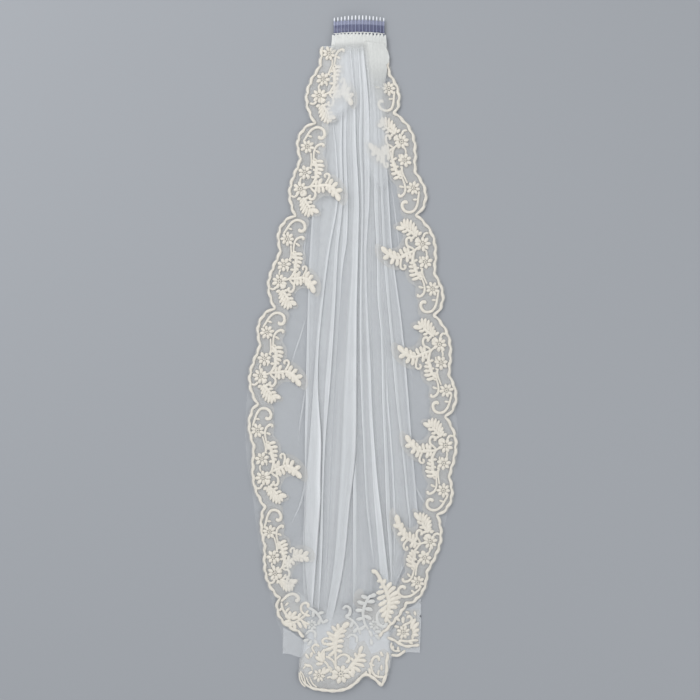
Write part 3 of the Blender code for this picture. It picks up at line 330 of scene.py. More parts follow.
# ---- the lace trim: one repeat, along the edge (s) and inward from the line of notches (t)
REPEAT = 150.0
Lobe = namedtuple("Lobe", "place first second")     # share of each lobe along the repeat
LOBES = (Lobe(0.0, 0.0, 0.0), Lobe(0.06, 0.62, 0.0), Lobe(0.18, 1.0, 0.0), Lobe(0.29, 0.92, 0.0),
         Lobe(0.41, 0.3, 0.3), Lobe(0.55, 0.0, 0.83), Lobe(0.70, 0.0, 1.0), Lobe(0.82, 0.0, 0.85),
         Lobe(0.93, 0.0, 0.42), Lobe(1.0, 0.0, 0.0))
FIRST_FULL = (20, 50)   # along the repeat, where each lobe's depth holds for the motifs beside it
SECOND_FULL = (72, 130)
FULL_LOBE = 18.0        # a flatter lobe pushes its motifs in by the share LOBE_PUSH, and less
LOBE_PUSH = 0.8         # the further in they are, to none at LOBE_REACH
LOBE_REACH = 60.0
FIRM_DEPTH = 22.0       # only what lies further in is drawn together by a repeat's reach
SHALLOW = 28.0          # a repeat of little reach has only what lies this near its edge
SMALL_SCALLOPS = 10
SCALLOP_DEPTH = 1.9
NET_HALO = 1.4          # the net shows this far outside the cord
STRIP_WIDTH = 6.5       # where only the cord goes on, up beside the heading
FRONT_INSET = 0.8       # the tulle under the trim ends this far inside its edge
OUTLINE_STEPS = 6       # points of the edge for each small scallop
LACE_INNER = ((0, 23), (5, 28), (14, 27), (24, 25.5), (31, 28), (38, 27), (46, 25), (52, 31),
              (60, 36), (72, 37.5), (78, 40), (75, 47), (79, 58), (87, 68), (98, 76), (112, 78),
              (120, 72), (110, 58), (110, 42), (116, 35), (126, 29), (132, 34), (137, 42),
              (143, 41), (146, 29))
Notch = namedtuple("Notch", "x y first second reach lean", defaults=(0.0,))
Run = namedtuple("Run", "notches start end inner_start inner_end drawn_from drawn_to strip")
LEFT_RUN = Run((Notch(-32.2, 509.5, 11, 21, 0.72), Notch(-60.4, 361.9, 20, 17, 1.0),
                Notch(-91.1, 216.7, 19, 18, 0.82), Notch(-123.2, 71.4, 19, 17, 1.0),
                Notch(-149.9, -79.3, 13, 13, 0.96), Notch(-138.9, -241.0, 8, 9, 0.96, -0.42),
                Notch(-115.4, -384.7, 15, 8, 1.0), Notch(-14.9, -500.0, 0, 0, 1.0)),
               0.2, 6.48, 0.2, 6.31, 0.2, 6.0, False)
RIGHT_RUN = Run((Notch(-18.0, -496.9, 2, 2, 1.0), Notch(88.7, -393.3, 13, 14, 1.0, 0.55),
                 Notch(137.4, -253.6, 17, 17, 0.96, 0.18), Notch(149.9, -98.9, 18, 18, 1.0),
                 Notch(132.7, 60.4, 18, 20, 1.0), Notch(104.4, 217.5, 21, 21, 0.68),
                 Notch(69.9, 377.6, 13.5, 10, 0.3), Notch(35.3, 520.5, 0, 0, 1.0)),
                0.54, 6.71, 0.55, 6.28, 1.0, 6.38, True)

# ---- the drawing of one repeat: satin-stitched strokes, leaves and daisies
Stroke = namedtuple("Stroke", "points halves")
Leaf = namedtuple("Leaf", "root tip half")
Daisy = namedtuple("Daisy", "x y radius petals")
STROKES = (
    Stroke(((33, -9), (23.5, -5.5), (13.5, -1.2), (7.2, 5), (6, 12.5), (9, 19), (15.5, 21.8),
            (20.7, 20), (22, 15.5), (18.8, 13)), (1.7, 1.9, 2.1, 2.3, 2.5, 3.1)),
    Stroke(((59, 13.3), (49, 11.4), (41.3, 11.3), (35, 13.8), (31, 19.5), (31.8, 23.5),
            (35.2, 23)), (1.4, 1.7, 1.9, 2.2, 2.6)),
    Stroke(((47, 6.5), (56, 9), (64, 10.5), (71, 9.5)), (1.5, 1.5, 1.5)),
    Stroke(((58, 13.2), (65, 12.8), (72, 8.5)), (1.3, 1.4, 1.3)),
    Stroke(((88, -0.5), (93, -1.8), (98, -0.5)), (1.6, 1.6, 1.6)),
    Stroke(((82, 6), (85.5, 10), (90, 9.5)), (1.2, 1.4, 1.5)),
    Stroke(((120.5, -11), (121.3, -5.3), (116, -0.5)), (1.8, 2.0, 2.2)),
    Stroke(((57.5, 11), (64, 18), (71, 20.2), (77, 20.4), (84.4, 22), (92, 20), (99.8, 15.5),
            (105, 5)), (2.0, 2.9, 3.1, 2.8, 2.2, 1.8, 1.7)),
    Stroke(((99.8, 15.5), (98, 22), (96.5, 29), (93, 40)), (1.8, 2.4, 3.2, 2.8)),
    Stroke(((92.5, 38.5), (84, 41.8), (77.5, 42.2), (75, 38.5), (78, 34.8), (82.2, 37)),
           (2.2, 2.0, 1.9, 2.1)),
    Stroke(((93, 38), (94, 46), (97.5, 53), (103, 59), (108, 62.5)), (2.8, 3.6, 3.8, 3.2)),
    Stroke(((100, 15.8), (104.5, 20.3), (107.2, 25), (112, 26.8), (118, 25), (119.8, 20.5),
            (116.2, 17.8), (113, 20)), (1.7, 2.0, 2.1, 2.3, 2.7)),
    Stroke(((119, 8), (128.6, 18), (134.5, 23.5)), (2.4, 2.6, 2.2)),
)
LEAVES = (
    Leaf((22, -4), (23, 3.4), 1.9), Leaf((42.5, 12.5), (46, 20.5), 2.1),
    Leaf((55.5, 12.5), (57.5, 18.0), 1.8), Leaf((70, 7.5), (72.5, 13), 1.7),
    Leaf((60, 15), (57.6, 29), 2.85), Leaf((64.8, 18), (64.8, 31.8), 2.95),
    Leaf((70.5, 20), (71.2, 31.4), 2.95), Leaf((76, 20.5), (78, 30), 2.85),
    Leaf((80.5, 21.2), (84, 27.8), 2.6), Leaf((66, 18.5), (64.5, 12.6), 2.35),
    Leaf((73, 20), (72.5, 14), 2.35), Leaf((83.5, 21.5), (85, 13.6), 2.35),
    Leaf((96.5, 29), (84, 31.5), 3.05), Leaf((98, 24), (88, 25.6), 2.6),
    Leaf((97.5, 25.5), (107, 25.6), 2.6), Leaf((97, 29), (108, 31.2), 2.95),
    Leaf((95, 34.5), (106.3, 38.2), 2.95), Leaf((94.5, 40), (101.5, 44), 2.7),
    Leaf((93.5, 45), (81.5, 48.8), 3.3), Leaf((96, 50.5), (85.8, 57.5), 3.4),
    Leaf((100.5, 56), (96, 67.6), 3.9), Leaf((95, 45.5), (105.2, 48.8), 3.2),
    Leaf((99, 52), (109.4, 54.4), 3.3), Leaf((102, 57), (114, 66), 4.6),
    Leaf((118, 6), (110.5, 12.6), 3.65), Leaf((120, 6), (124.5, -0.5), 2.85),
    Leaf((120, 8.5), (128.5, 4.6), 2.4), Leaf((122, 10.5), (134.5, 6.0), 2.6),
    Leaf((125, 13.0), (140.4, 8.4), 2.55), Leaf((128, 16.0), (144.8, 12.2), 2.55),
    Leaf((131, 19.0), (147.6, 17.2), 2.55), Leaf((133.5, 22), (148.4, 22.8), 2.5),
    Leaf((135, 24.0), (145, 29.0), 2.5), Leaf((121.5, 11), (117.4, 17.6), 2.5),
    Leaf((126, 16), (124, 24.8), 2.5), Leaf((130.5, 20.5), (130, 30.6), 2.6),
    Leaf((135, 23), (138, 38), 4.0),
)
DAISIES = (Daisy(38.8, -1.0, 11.2, 8), Daisy(79.8, 2.8, 11.0, 7), Daisy(106.8, 1.5, 12.0, 8))

# ---- the hem's lace and the turned corner's, in the veil's own x and y
HEM_INNER = ((-81.5, -480.0), (-70.0, -463.0), (-58.0, -455.0), (-46.0, -458.0), (-36.0, -462.0),
             (-38.0, -448.0), (-28.0, -432.0), (-16.0, -420.0), (0.0, -413.0), (5.0, -424.0),
             (-3.0, -446.0), (-4.0, -462.0), (4.0, -464.0), (10.0, -452.0), (20.0, -449.0),
             (27.0, -462.0), (31.0, -470.0), (40.0, -467.0), (50.0, -462.0), (60.5, -468.0),
             (61.0, -480.0))
HEM_DAISIES = (Daisy(-16.8, -501.9, 15.5, 8), Daisy(-51.2, -504.1, 10.0, 8))
HEM_STROKES = (
    Stroke(((-24.6, -494.6), (-25.1, -479.1), (-25.1, -465.8)), (1.9, 1.9, 2.2)),
    Stroke(((-25.1, -468), (-26, -457), (-24.6, -445.8), (-20.1, -435.8), (-13, -429)),
           (3.0, 4.4, 5.2, 5.0, 3.4)),
    Stroke(((-31.8, -447.5), (-39.5, -445.6), (-45.3, -449), (-43, -454.7), (-39, -453)),
           (1.6, 1.9, 2.2, 2.6)),
    Stroke(((-24.6, -479), (-19, -473.5), (-10.7, -471.3), (-4, -475.2), (-5, -482), (-9.5, -483)),
           (1.6, 1.9, 2.1, 2.4, 2.8)),
    Stroke(((-24.9, -490), (-28.2, -482), (-35, -476.3), (-40.6, -474.4)), (1.8, 1.9, 1.9)),
    Stroke(((-5, -494.6), (2.6, -485.8), (9.3, -477), (13.7, -468)), (2.8, 3.8, 3.6, 2.4)),
    Stroke(((43.2, -482), (41.8, -475.5), (36.5, -475), (31.7, -481.3), (31, -491.3),
            (34.3, -501.3), (40.4, -505.7), (50.9, -506.6)), (2.5, 2.2, 2.0, 2.0, 2.2)),
    Stroke(((-39, -508.4), (-34, -506.5), (-29, -507.4)), (1.7, 2.0, 1.7)),
    Stroke(((-36, -489), (-31.5, -494), (-33.5, -500)), (1.4, 1.9, 1.5)),
    Stroke(((-34.5, -494.6), (-38.4, -485.8), (-43, -481.3)), (1.7, 1.8, 1.8)),
    Stroke(((-57, -470), (-61.5, -461), (-56, -455.5), (-50, -459)), (1.4, 1.8, 2.0)),
    Stroke(((-82.0, -499.0), (-81.4, -508.4), (-78.2, -516.2), (-72.0, -522.4)), (1.1, 1.2, 1.2)),
    Stroke(((-80.5, -497.0), (-76.6, -502.1), (-73.5, -510.4), (-71.4, -518.0)), (1.0, 1.3, 1.1)),
    Stroke(((-71.0, -507.0), (-67.5, -515.0), (-61.1, -523.4)), (1.0, 1.2, 1.2)),
    Stroke(((-66.0, -506.0), (-61.0, -516.5), (-53.9, -522.6)), (1.0, 1.3, 1.3)),
    Stroke(((-76, -494), (-71, -488), (-64, -489), (-61, -496)), (1.2, 1.5, 1.3)),
    Stroke(((53.5, -503), (55.2, -493), (54.6, -483), (56.5, -475), (56.0, -468)),
           (1.8, 2.6, 2.0, 2.7, 1.8)),
)
HEM_LEAVES = (
    Leaf((-14.6, -430.8), (-3.4, -421.0), 4.6), Leaf((-20.7, -435.8), (-31, -425.9), 3.0),
    Leaf((-19, -434.7), (-21.4, -422.2), 2.9), Leaf((-24, -443.6), (-38.8, -435.4), 3.2),
    Leaf((-25.1, -451.4), (-35.3, -441.4), 2.9), Leaf((-25.7, -457), (-42.1, -464.6), 3.2),
    Leaf((-25.7, -453.6), (-40.2, -455.2), 3.1), Leaf((-25.1, -463.6), (-36.5, -474), 3.0),
    Leaf((-19.6, -438), (-7.7, -433), 3.1), Leaf((-22.3, -444.7), (-10, -441.5), 3.1),
    Leaf((-24, -451.4), (-11.6, -450.0), 3.2), Leaf((-24.6, -459), (-12.7, -458.8), 3.2),
    Leaf((-24.6, -464.7), (-14.2, -467.4), 2.9), Leaf((12, -471.3), (17.3, -457.6), 3.3),
    Leaf((9.3, -475.8), (22.7, -472), 3.3), Leaf((6.5, -480.8), (23.4, -481.4), 3.3),
    Leaf((3.8, -485.8), (20.4, -490.2), 3.3), Leaf((0.4, -490.2), (14.1, -498.4), 3.3),
    Leaf((8.7, -477), (5.5, -468), 2.5), Leaf((4.9, -482.4), (-1.2, -475.6), 2.5),
    Leaf((-1.8, -491.3), (4.2, -502.3), 3.5), Leaf((-6.2, -497), (3.6, -506.4), 3.6),
    Leaf((41.8, -504.6), (43.2, -495.3), 1.8), Leaf((-45, -502.5), (-33, -493.8), 3.2),
    Leaf((-46, -501.5), (-41, -491), 3.0), Leaf((-44, -483.5), (-51.6, -466), 3.2),
    Leaf((-43.4, -482.4), (-56.4, -473.9), 3.1), Leaf((-43, -481.3), (-43.4, -466), 3.0),
    Leaf((-44, -484.6), (-56, -485.8), 2.9), Leaf((-61, -497), (-68, -502), 2.4),
    Leaf((-64, -490), (-74, -486), 2.2), Leaf((-48, -474), (-41, -462.5), 2.6),
    Leaf((49.8, -474.5), (45.5, -466.5), 2.3), Leaf((-30, -507), (-26, -500), 2.2),
    Leaf((24, -497), (17, -506), 2.6), Leaf((27, -492), (29, -504), 2.6),
    Leaf((36, -489), (27.5, -484), 2.3), Leaf((48, -497), (47, -488), 2.2),
    Leaf((-66, -478), (-72, -470), 2.4), Leaf((-64, -476), (-61, -467.5), 2.4),
)
CORNER_EDGE = ((55.2, -446.5), (65.6, -451.5), (73.0, -456.5), (85.5, -461.5), (96.0, -460.5),
               (106.5, -459.5))
CORNER_INNER = ((106.5, -402.0), (96.0, -400.5), (87.0, -403.5), (79.0, -415.0), (70.0, -430.0),
                (62.8, -440.5))
CORNER_DAISIES = (Daisy(81.3, -437.2, 11.0, 8),)
CORNER_STROKES = (
    Stroke(((79.2, -427.8), (85.5, -424.2), (92.3, -421), (94.4, -415.8), (90.2, -412),
            (86.6, -415.3)), (1.8, 2.0, 2.2, 2.8)),
    Stroke(((76.2, -449.7), (87.6, -451.3), (96, -449.8), (105, -449.8)), (1.9, 2.1, 2.1)),
    Stroke(((62, -471.8), (73, -473.4), (84.5, -465.5)), (2.3, 2.4, 2.3)),
    Stroke(((63, -452.5), (62, -460), (68, -466), (77, -466.5)), (1.6, 1.8, 1.6)),
)
CORNER_LEAVES = (
    Leaf((81.3, -423.6), (81.4, -412.2), 2.9), Leaf((75.1, -429), (66.8, -427.0), 2.7),
    Leaf((93, -433), (100.2, -415.4), 3.2), Leaf((95, -436.2), (105.4, -421.7), 3.2),
    Leaf((95, -439.3), (106.6, -432.2), 3.2), Leaf((93.5, -442.5), (105.3, -441.5), 3.0),
    Leaf((95, -448.8), (98.1, -441), 2.5), Leaf((87.6, -450), (96, -456), 2.7),
    Leaf((101.2, -411), (98.6, -403.8), 2.2), Leaf((79.2, -447.7), (73, -453), 2.7),
    Leaf((65.6, -464.4), (64.8, -457.2), 2.3), Leaf((74, -466.5), (73, -459.3), 2.3),
    Leaf((76, -420), (71, -413.5), 2.4), Leaf((91, -406.5), (84.5, -404.5), 2.2),
)

# ---- the repeats that the turned corners bend out of line, in x and y
LEFT_END_STROKES = (
    Stroke(((-111, -389), (-105.3, -384.4), (-99.9, -379.3), (-92.7, -377), (-86, -379.4),
            (-83.2, -385), (-87.9, -389.2)), (2.0, 2.2, 2.5, 2.9, 3.6)),
    Stroke(((-110, -390.3), (-108.5, -398.4), (-105, -405.7), (-100, -411.5), (-95, -416.5)),
           (1.9, 2.1, 2.1, 2.1)),
    Stroke(((-67.8, -402), (-73.2, -410.2), (-80.5, -416.5), (-90.4, -422), (-101.3, -424.2),
            (-105.3, -425.1)), (1.9, 2.0, 2.0, 2.1)),
    Stroke(((-72, -409.3), (-78, -404.3), (-79, -396), (-73.2, -390.5), (-67.5, -393.5),
            (-69.5, -398)), (1.8, 2.0, 2.2, 2.8)),
    Stroke(((-80.5, -417), (-74, -420.6), (-66, -424.2)), (1.7, 1.8, 1.7)),
)
LEFT_END_LEAVES = (
    Leaf((-104, -406.6), (-96.5, -399), 2.2), Leaf((-95.4, -415.6), (-96.4, -403.5), 3.2),
    Leaf((-95, -416.5), (-86.2, -404.6), 3.2), Leaf((-95.8, -416.5), (-104, -409.5), 2.8),
    Leaf((-95.4, -417.4), (-106, -421.7), 3.3), Leaf((-95, -418.3), (-97.4, -430.4), 3.1),
    Leaf((-93, -419.3), (-88.4, -433.4), 3.2), Leaf((-86, -419.2), (-78.6, -430.3), 3.1),
    Leaf((-84, -417.4), (-79, -406.8), 2.8), Leaf((-94, -417.4), (-83.4, -413), 3.1),
    Leaf((-73.2, -410.2), (-64.5, -411), 2.4), Leaf((-78, -418.5), (-70.5, -431), 2.6),
    Leaf((-104, -396), (-98.5, -390.5), 2.0), Leaf((-109, -398), (-114, -404), 2.2),
)
RIGHT_END_STROKES = (
    Stroke(((35.3, -338), (40.6, -344.7), (45.3, -353.6), (49.5, -361.8), (54, -371.3),
            (57.8, -382.8), (58.9, -392.2), (57.8, -403.7), (54.7, -413.2)),
           (3.2, 3.0, 3.0, 3.2, 3.4, 3.6, 3.6, 3.2, 2.4)),
    Stroke(((55, -413), (60, -421), (66, -424)), (2.0, 2.0, 1.8)),
)
RIGHT_END_LEAVES = (
    Leaf((39, -342.6), (31.7, -337.5), 3.6), Leaf((45.5, -353.4), (39.5, -356.4), 2.8),
    Leaf((49, -363), (43.4, -366.6), 2.8), Leaf((49.5, -362.2), (53.5, -352.7), 3.2),
    Leaf((53.6, -371.4), (62.8, -358.4), 3.7), Leaf((55.7, -377.6), (69, -365), 3.7),
    Leaf((57.8, -382.8), (75.5, -373), 3.7), Leaf((58.8, -387.5), (78.5, -381.6), 3.7),
    Leaf((58.8, -392.5), (76.5, -390.0), 3.7), Leaf((58.3, -397.4), (72.4, -398.4), 3.7),
    Leaf((51.5, -371.3), (38.6, -374.3), 3.6), Leaf((54, -378.6), (39.6, -383.7), 3.7),
    Leaf((55.7, -386), (41.7, -394.2), 3.7), Leaf((56.2, -393.3), (43.8, -404.6), 3.7),
    Leaf((55.7, -400.7), (46.8, -413), 3.7), Leaf((56.7, -403.7), (66.4, -407), 3.6),
    Leaf((55.2, -409), (62.5, -414.8), 3.3), Leaf((54.6, -410), (53, -421.5), 3.3),
)

# ---- lace that shows faintly through the hem's tulle, from a layer underneath
GHOST_STROKES = (
    Stroke(((-14, -400), (-8.5, -395), (-2.5, -399), (-3.5, -408), (-10, -411)), (1.8, 2.4, 3.0)),
    Stroke(((-10, -411), (2, -418), (10, -428), (14, -440)), (2.0, 2.0, 1.8)),
    Stroke(((30, -377), (22, -390), (18, -405), (20, -420), (27, -433)), (2.2, 2.4, 1.8)),
    Stroke(((46, -400), (40, -410), (42, -422), (50, -428), (56, -422)), (2.0, 2.6, 3.2)),
    Stroke(((-68, -398), (-58, -403), (-50, -412), (-44, -423)), (2.0, 2.4, 1.8)),
    Stroke(((-72, -440), (-65, -434), (-57, -437), (-57, -446)), (1.6, 2.2, 2.4)),
    Stroke(((-8, -446), (0, -440), (8, -444), (8, -453)), (1.6, 2.2, 2.4)),
)
GHOST_LEAVES = (
    Leaf((28, -381), (39, -377), 3.4), Leaf((24, -389), (37, -388), 3.4),
    Leaf((20, -399), (33, -402), 3.4), Leaf((18.5, -410), (31, -416), 3.3),
    Leaf((27, -382), (15, -378), 3.3), Leaf((22.5, -391), (8.8, -387), 3.3),
    Leaf((18, -401), (6, -401), 3.3), Leaf((19, -413), (7, -416), 3.2),
    Leaf((22, -425), (12, -432), 3.0), Leaf((27, -433), (32, -444), 2.8),
    Leaf((2, -418), (-3, -429), 3.0), Leaf((10, -428), (2, -437), 3.0),
    Leaf((-60, -402), (-61, -413), 2.8), Leaf((-53, -408), (-43, -405), 2.8),
    Leaf((-49, -415), (-53, -425), 2.8), Leaf((-45, -422), (-36, -417), 2.8),
    Leaf((-62, -448), (-69, -457), 2.8), Leaf((-58, -447), (-55, -458), 2.8),
    Leaf((-66, -447), (-76, -450), 2.8), Leaf((36, -440), (44, -448), 2.8),
    Leaf((30, -446), (31, -457), 2.8), Leaf((36, -436), (47, -436), 2.8),
)
GHOST_DAISIES = (Daisy(52, -394, 9.5, 8), Daisy(-62, -425, 9.0, 8), Daisy(36, -425, 9.0, 7))

# ---- cross-section of a satin stroke: across as shares of the half width, up as shares of height
CORD_PITCH = 14.5
CORD_LIFT = 1.35
CORD_BLUNT = 0.7
PINCH, SWELL = 0.66, 0.44     # the cord's least width, and how much it swells between pinches
SECTION = ((-1.0, 0.0), (-0.78, 0.62), (0.0, 1.0), (0.78, 0.62), (1.0, 0.0), (0.0, -0.1))


SLANT = 0.866           # height of a triangle with sides of 1, for nets and point lattices


# ---------------------------------------------------------------- curves
class Curve:
    """A smooth curve through (place, value) rows, read from evenly spaced steps."""

    STEPS = 900

    def __init__(self, rows):
        rows = sorted(rows)
        self.low = rows[0][0]
        self.scale = self.STEPS / (rows[-1][0] - self.low)
        self.values = []
        k = 0
        for step in range(self.STEPS + 1):
            at = self.low + step / self.scale
            while k < len(rows) - 2 and at > rows[k + 1][0]:
                k += 1
            self.values.append(self.between(rows, k, at))

    @staticmethod
    def between(rows, k, at):
        """Cubic between two rows, with the slopes that their neighbours give."""

        def slope(i):
            low, high = max(i - 1, 0), min(i + 1, len(rows) - 1)
            return (rows[high][1] - rows[low][1]) / (rows[high][0] - rows[low][0])

        step = rows[k + 1][0] - rows[k][0]
        f = (at - rows[k][0]) / step
        start = (2 * f ** 3 - 3 * f ** 2 + 1) * rows[k][1]
        start += (f ** 3 - 2 * f ** 2 + f) * step * slope(k)
        end = (3 * f ** 2 - 2 * f ** 3) * rows[k + 1][1]
        end += (f ** 3 - f ** 2) * step * slope(k + 1)
        return start + end

    def __call__(self, at):
        place = min(max((at - self.low) * self.scale, 0.0), self.STEPS - 1e-6)
        k = int(place)
        return self.values[k] + (place - k) * (self.values[k + 1] - self.values[k])


def spline(points, count):
    """Evenly spaced points on a smooth line through the given ones."""
    points = [Vector(point) for point in points]
    ends = [points[0] * 2 - points[1], *points, points[-1] * 2 - points[-2]]
    dense = []
    for k in range(len(points) - 1):
        a, b, c, d = ends[k:k + 4]
        for step in range(12):
            f = step / 12
            dense.append(0.5 * (2 * b + (c - a) * f + (2 * a - 5 * b + 4 * c - d) * f ** 2
                                + (3 * b - 3 * c + d - a) * f ** 3))
    dense.append(points[-1])
    run = [0.0]
    for a, b in zip(dense, dense[1:]):
        run.append(run[-1] + (b - a).length)
    found = []
    k = 0
    for step in range(count):
        at = run[-1] * step / (count - 1)
        while k < len(run) - 2 and run[k + 1] < at:
            k += 1
        share = (at - run[k]) / max(run[k + 1] - run[k], 1e-9)
        found.append(dense[k].lerp(dense[k + 1], min(share, 1.0)))
    return found


def line_length(points):
    return sum(math.dist(a, b) for a, b in zip(points, points[1:]))


def smoothstep(share):
    share = min(max(share, 0.0), 1.0)
    return share * share * (3.0 - 2.0 * share)


def inside(points, outline):
    """Even-odd test of many points against a closed outline."""
    points = np.asarray(points, dtype=float)
    ring = np.asarray(outline, dtype=float)
    after = np.roll(ring, -1, axis=0)
    x, y = points[:, 0][:, None], points[:, 1][:, None]
    crosses = (ring[:, 1] > y) != (after[:, 1] > y)
    rise = after[:, 1] - ring[:, 1]
    rise = np.where(np.abs(rise) < 1e-12, 1e-12, rise)
    at = ring[:, 0] + (y - ring[:, 1]) / rise * (after[:, 0] - ring[:, 0])
    return (np.sum(crosses & (x < at), axis=1) % 2).astype(bool)


# ---------------------------------------------------------------- heights of the laid veil
COLUMN_LEFT = Curve([(row.y, row.left) for row in MIDDLE])
COLUMN_RIGHT = Curve([(row.y, row.right) for row in MIDDLE])
COLUMN_MOUND = Curve([(row.y, row.mound) for row in MIDDLE])
COLUMN_FOLD = Curve([(row.y, row.fold) for row in MIDDLE])
FIRST_LOBE = Curve([(row.place, row.first) for row in LOBES])
SECOND_LOBE = Curve([(row.place, row.second) for row in LOBES])
PLEATS_HIDE = Curve(PLEAT_COVER)
HIDDEN_HIDE = Curve(HIDDEN_COVER)
FOLDS_SHOW = Curve(FOLD_CONTRAST)
SIDES_HIDE = Curve(SIDE_COVER)
HEM_LINE = Curve(HEM)


def arch(x):
    """How far the comb's bend lifts the heading above the table."""
    return ARCH_RISE * max(0.0, 1.0 - ((x - COMB_X) / ARCH_HALF) ** 2)


def ripple(x, y):
    """Broad soft waves that every layer of the veil lies in."""
    height = 0.0
    for wave in RIPPLES:
        dx, dy = wave.x1 - wave.x0, wave.y1 - wave.y0
        reach = math.hypot(dx, dy)
        along = ((x - wave.x0) * dx + (y - wave.y0) * dy) / reach
        across = ((x - wave.x0) * dy - (y - wave.y0) * dx) / reach
        if abs(across) < RIPPLE_REACH * wave.half and -RIPPLE_END < along < reach + RIPPLE_END:
            fade = smoothstep((along + RIPPLE_END) / RIPPLE_FADE)
            fade *= smoothstep((reach + RIPPLE_END - along) / RIPPLE_FADE)
            height += wave.height * fade * math.exp(-(across / wave.half) ** 2)
    return height


def rise(x, y):
    """How far every layer is lifted: by the climb to the comb and by the ripples."""
    climb = min(1.0, max(0.0, (y - FALL_Y) / (SEAM_Y - FALL_Y)))
    return arch(x) * climb + ripple(x, y)


def mound(x, y):
    """Dome of the layers folded away under the pleated middle."""
    left, right = COLUMN_LEFT(y) + MOUND_INSET, COLUMN_RIGHT(y) - MOUND_INSET
    across = (2 * x - left - right) / (right - left)
    return max(0.0, COLUMN_MOUND(y)) * max(0.0, 1.0 - across ** 2)


def inward(x, y):
    """How far a place is inside the pleated middle's edges, or less than 0 outside them."""
    return min(x - COLUMN_LEFT(y), COLUMN_RIGHT(y) - x)


def room(x, y):
    """Height between the pleated middle's base and the lace over it."""
    return ROOM + max(0.0, COLUMN_FOLD(y)) * smoothstep(inward(x, y) / ROOM_REACH)


def lace_top(x, y):
    """Upper face of the lace's net ground."""
    share = smoothstep((inward(x, y) + CLIMB) / CLIMB)
    over = PLEAT_Z + mound(x, y) + room(x, y) + LACE_OVER
    return LACE_Z + share * (over - LACE_Z) + rise(x, y)


# ---------------------------------------------------------------- the trim's line
def axis(run, place):
    """A point on the line of notches and the direction inward from it."""
    notches = run.notches
    k = min(int(place), len(notches) - 2)
    f = place - k
    corners = [Vector((notch.x, notch.y)) for notch in notches]
    ends = [corners[0] * 2 - corners[1], *corners, corners[-1] * 2 - corners[-2]]
    a, b, c, d = ends[k:k + 4]
    point = 0.5 * (2 * b + (c - a) * f + (2 * a - 5 * b + 4 * c - d) * f ** 2
                   + (3 * b - 3 * c + d - a) * f ** 3)
    along = 0.5 * ((c - a) + 2 * (2 * a - 5 * b + 4 * c - d) * f
                   + 3 * (3 * b - 3 * c + d - a) * f ** 2)
    along.normalize()
    return point, Vector((-along.y, along.x))


def bulge(run, place):
    """How far the scalloped edge stands out of the line of notches."""
    k = min(int(place), len(run.notches) - 2)
    f = place - k
    wave = SCALLOP_DEPTH * (1.0 - abs(math.sin(math.pi * SMALL_SCALLOPS * f)))
    return FIRST_LOBE(f) * run.notches[k].first + SECOND_LOBE(f) * run.notches[k].second - wave


def edge_point(run, place, inset=0.0):
    point, inner = axis(run, place)
    return point + inner * (inset - bulge(run, place))


def lobe_depth(run, repeat, s):
    """How far the lobes stand out beside a place of the drawing, smooth from lobe to lobe."""
    notch = run.notches[repeat]
    before = run.notches[max(repeat - 1, 0)]
    after = run.notches[min(repeat + 1, len(run.notches) - 2)]
    rows = ((0, (before.second + notch.first) / 2),
            *((place, notch.first) for place in FIRST_FULL),
            *((place, notch.second) for place in SECOND_FULL),
            (REPEAT, (notch.second + after.first) / 2))
    for low, high in zip(rows, rows[1:]):
        if s <= high[0]:
            return low[1] + smoothstep((s - low[0]) / (high[0] - low[0])) * (high[1] - low[1])
    return rows[-1][1]


def trim_point(run, repeat, s, t):
    """A point of one repeat's drawing, laid out along the run."""
    near_edge = max(0.0, 1.0 - max(t, 0.0) / LOBE_REACH)
    push = max(0.0, FULL_LOBE - lobe_depth(run, repeat, s)) * near_edge * LOBE_PUSH
    spare = max(0.0, t - FIRM_DEPTH)
    along = s + spare * run.notches[repeat].lean
    point, inner = axis(run, max(repeat + along / REPEAT, 0.0))
    return point + inner * (t + push + spare * (run.notches[repeat].reach - 1.0))


# ---------------------------------------------------------------- materials
class Signal:
    """A number in a node tree; Python arithmetic on it adds Math nodes."""

    def __init__(self, graph, socket):
        self.graph = graph
        self.socket = socket

    def math(self, operation, *values):
        node = self.graph.node("ShaderNodeMath", {"operation": operation},
                               dict(enumerate((self, *values))))
        return Signal(self.graph, node.outputs[0])

    def __add__(self, other):
        return self.math("ADD", other)

    def __mul__(self, other):
        return self.math("MULTIPLY", other)

    def __sub__(self, other):
        return self.math("SUBTRACT", other)

    def __rsub__(self, other):
        return (self * -1.0) + other

    def __pow__(self, other):
        return self.math("POWER", other)

    __radd__ = __add__
    __rmul__ = __mul__

    def cos(self):
        return self.math("COSINE")

    def clamped(self):
        return self.math("MINIMUM", 1.0).math("MAXIMUM", 0.0)


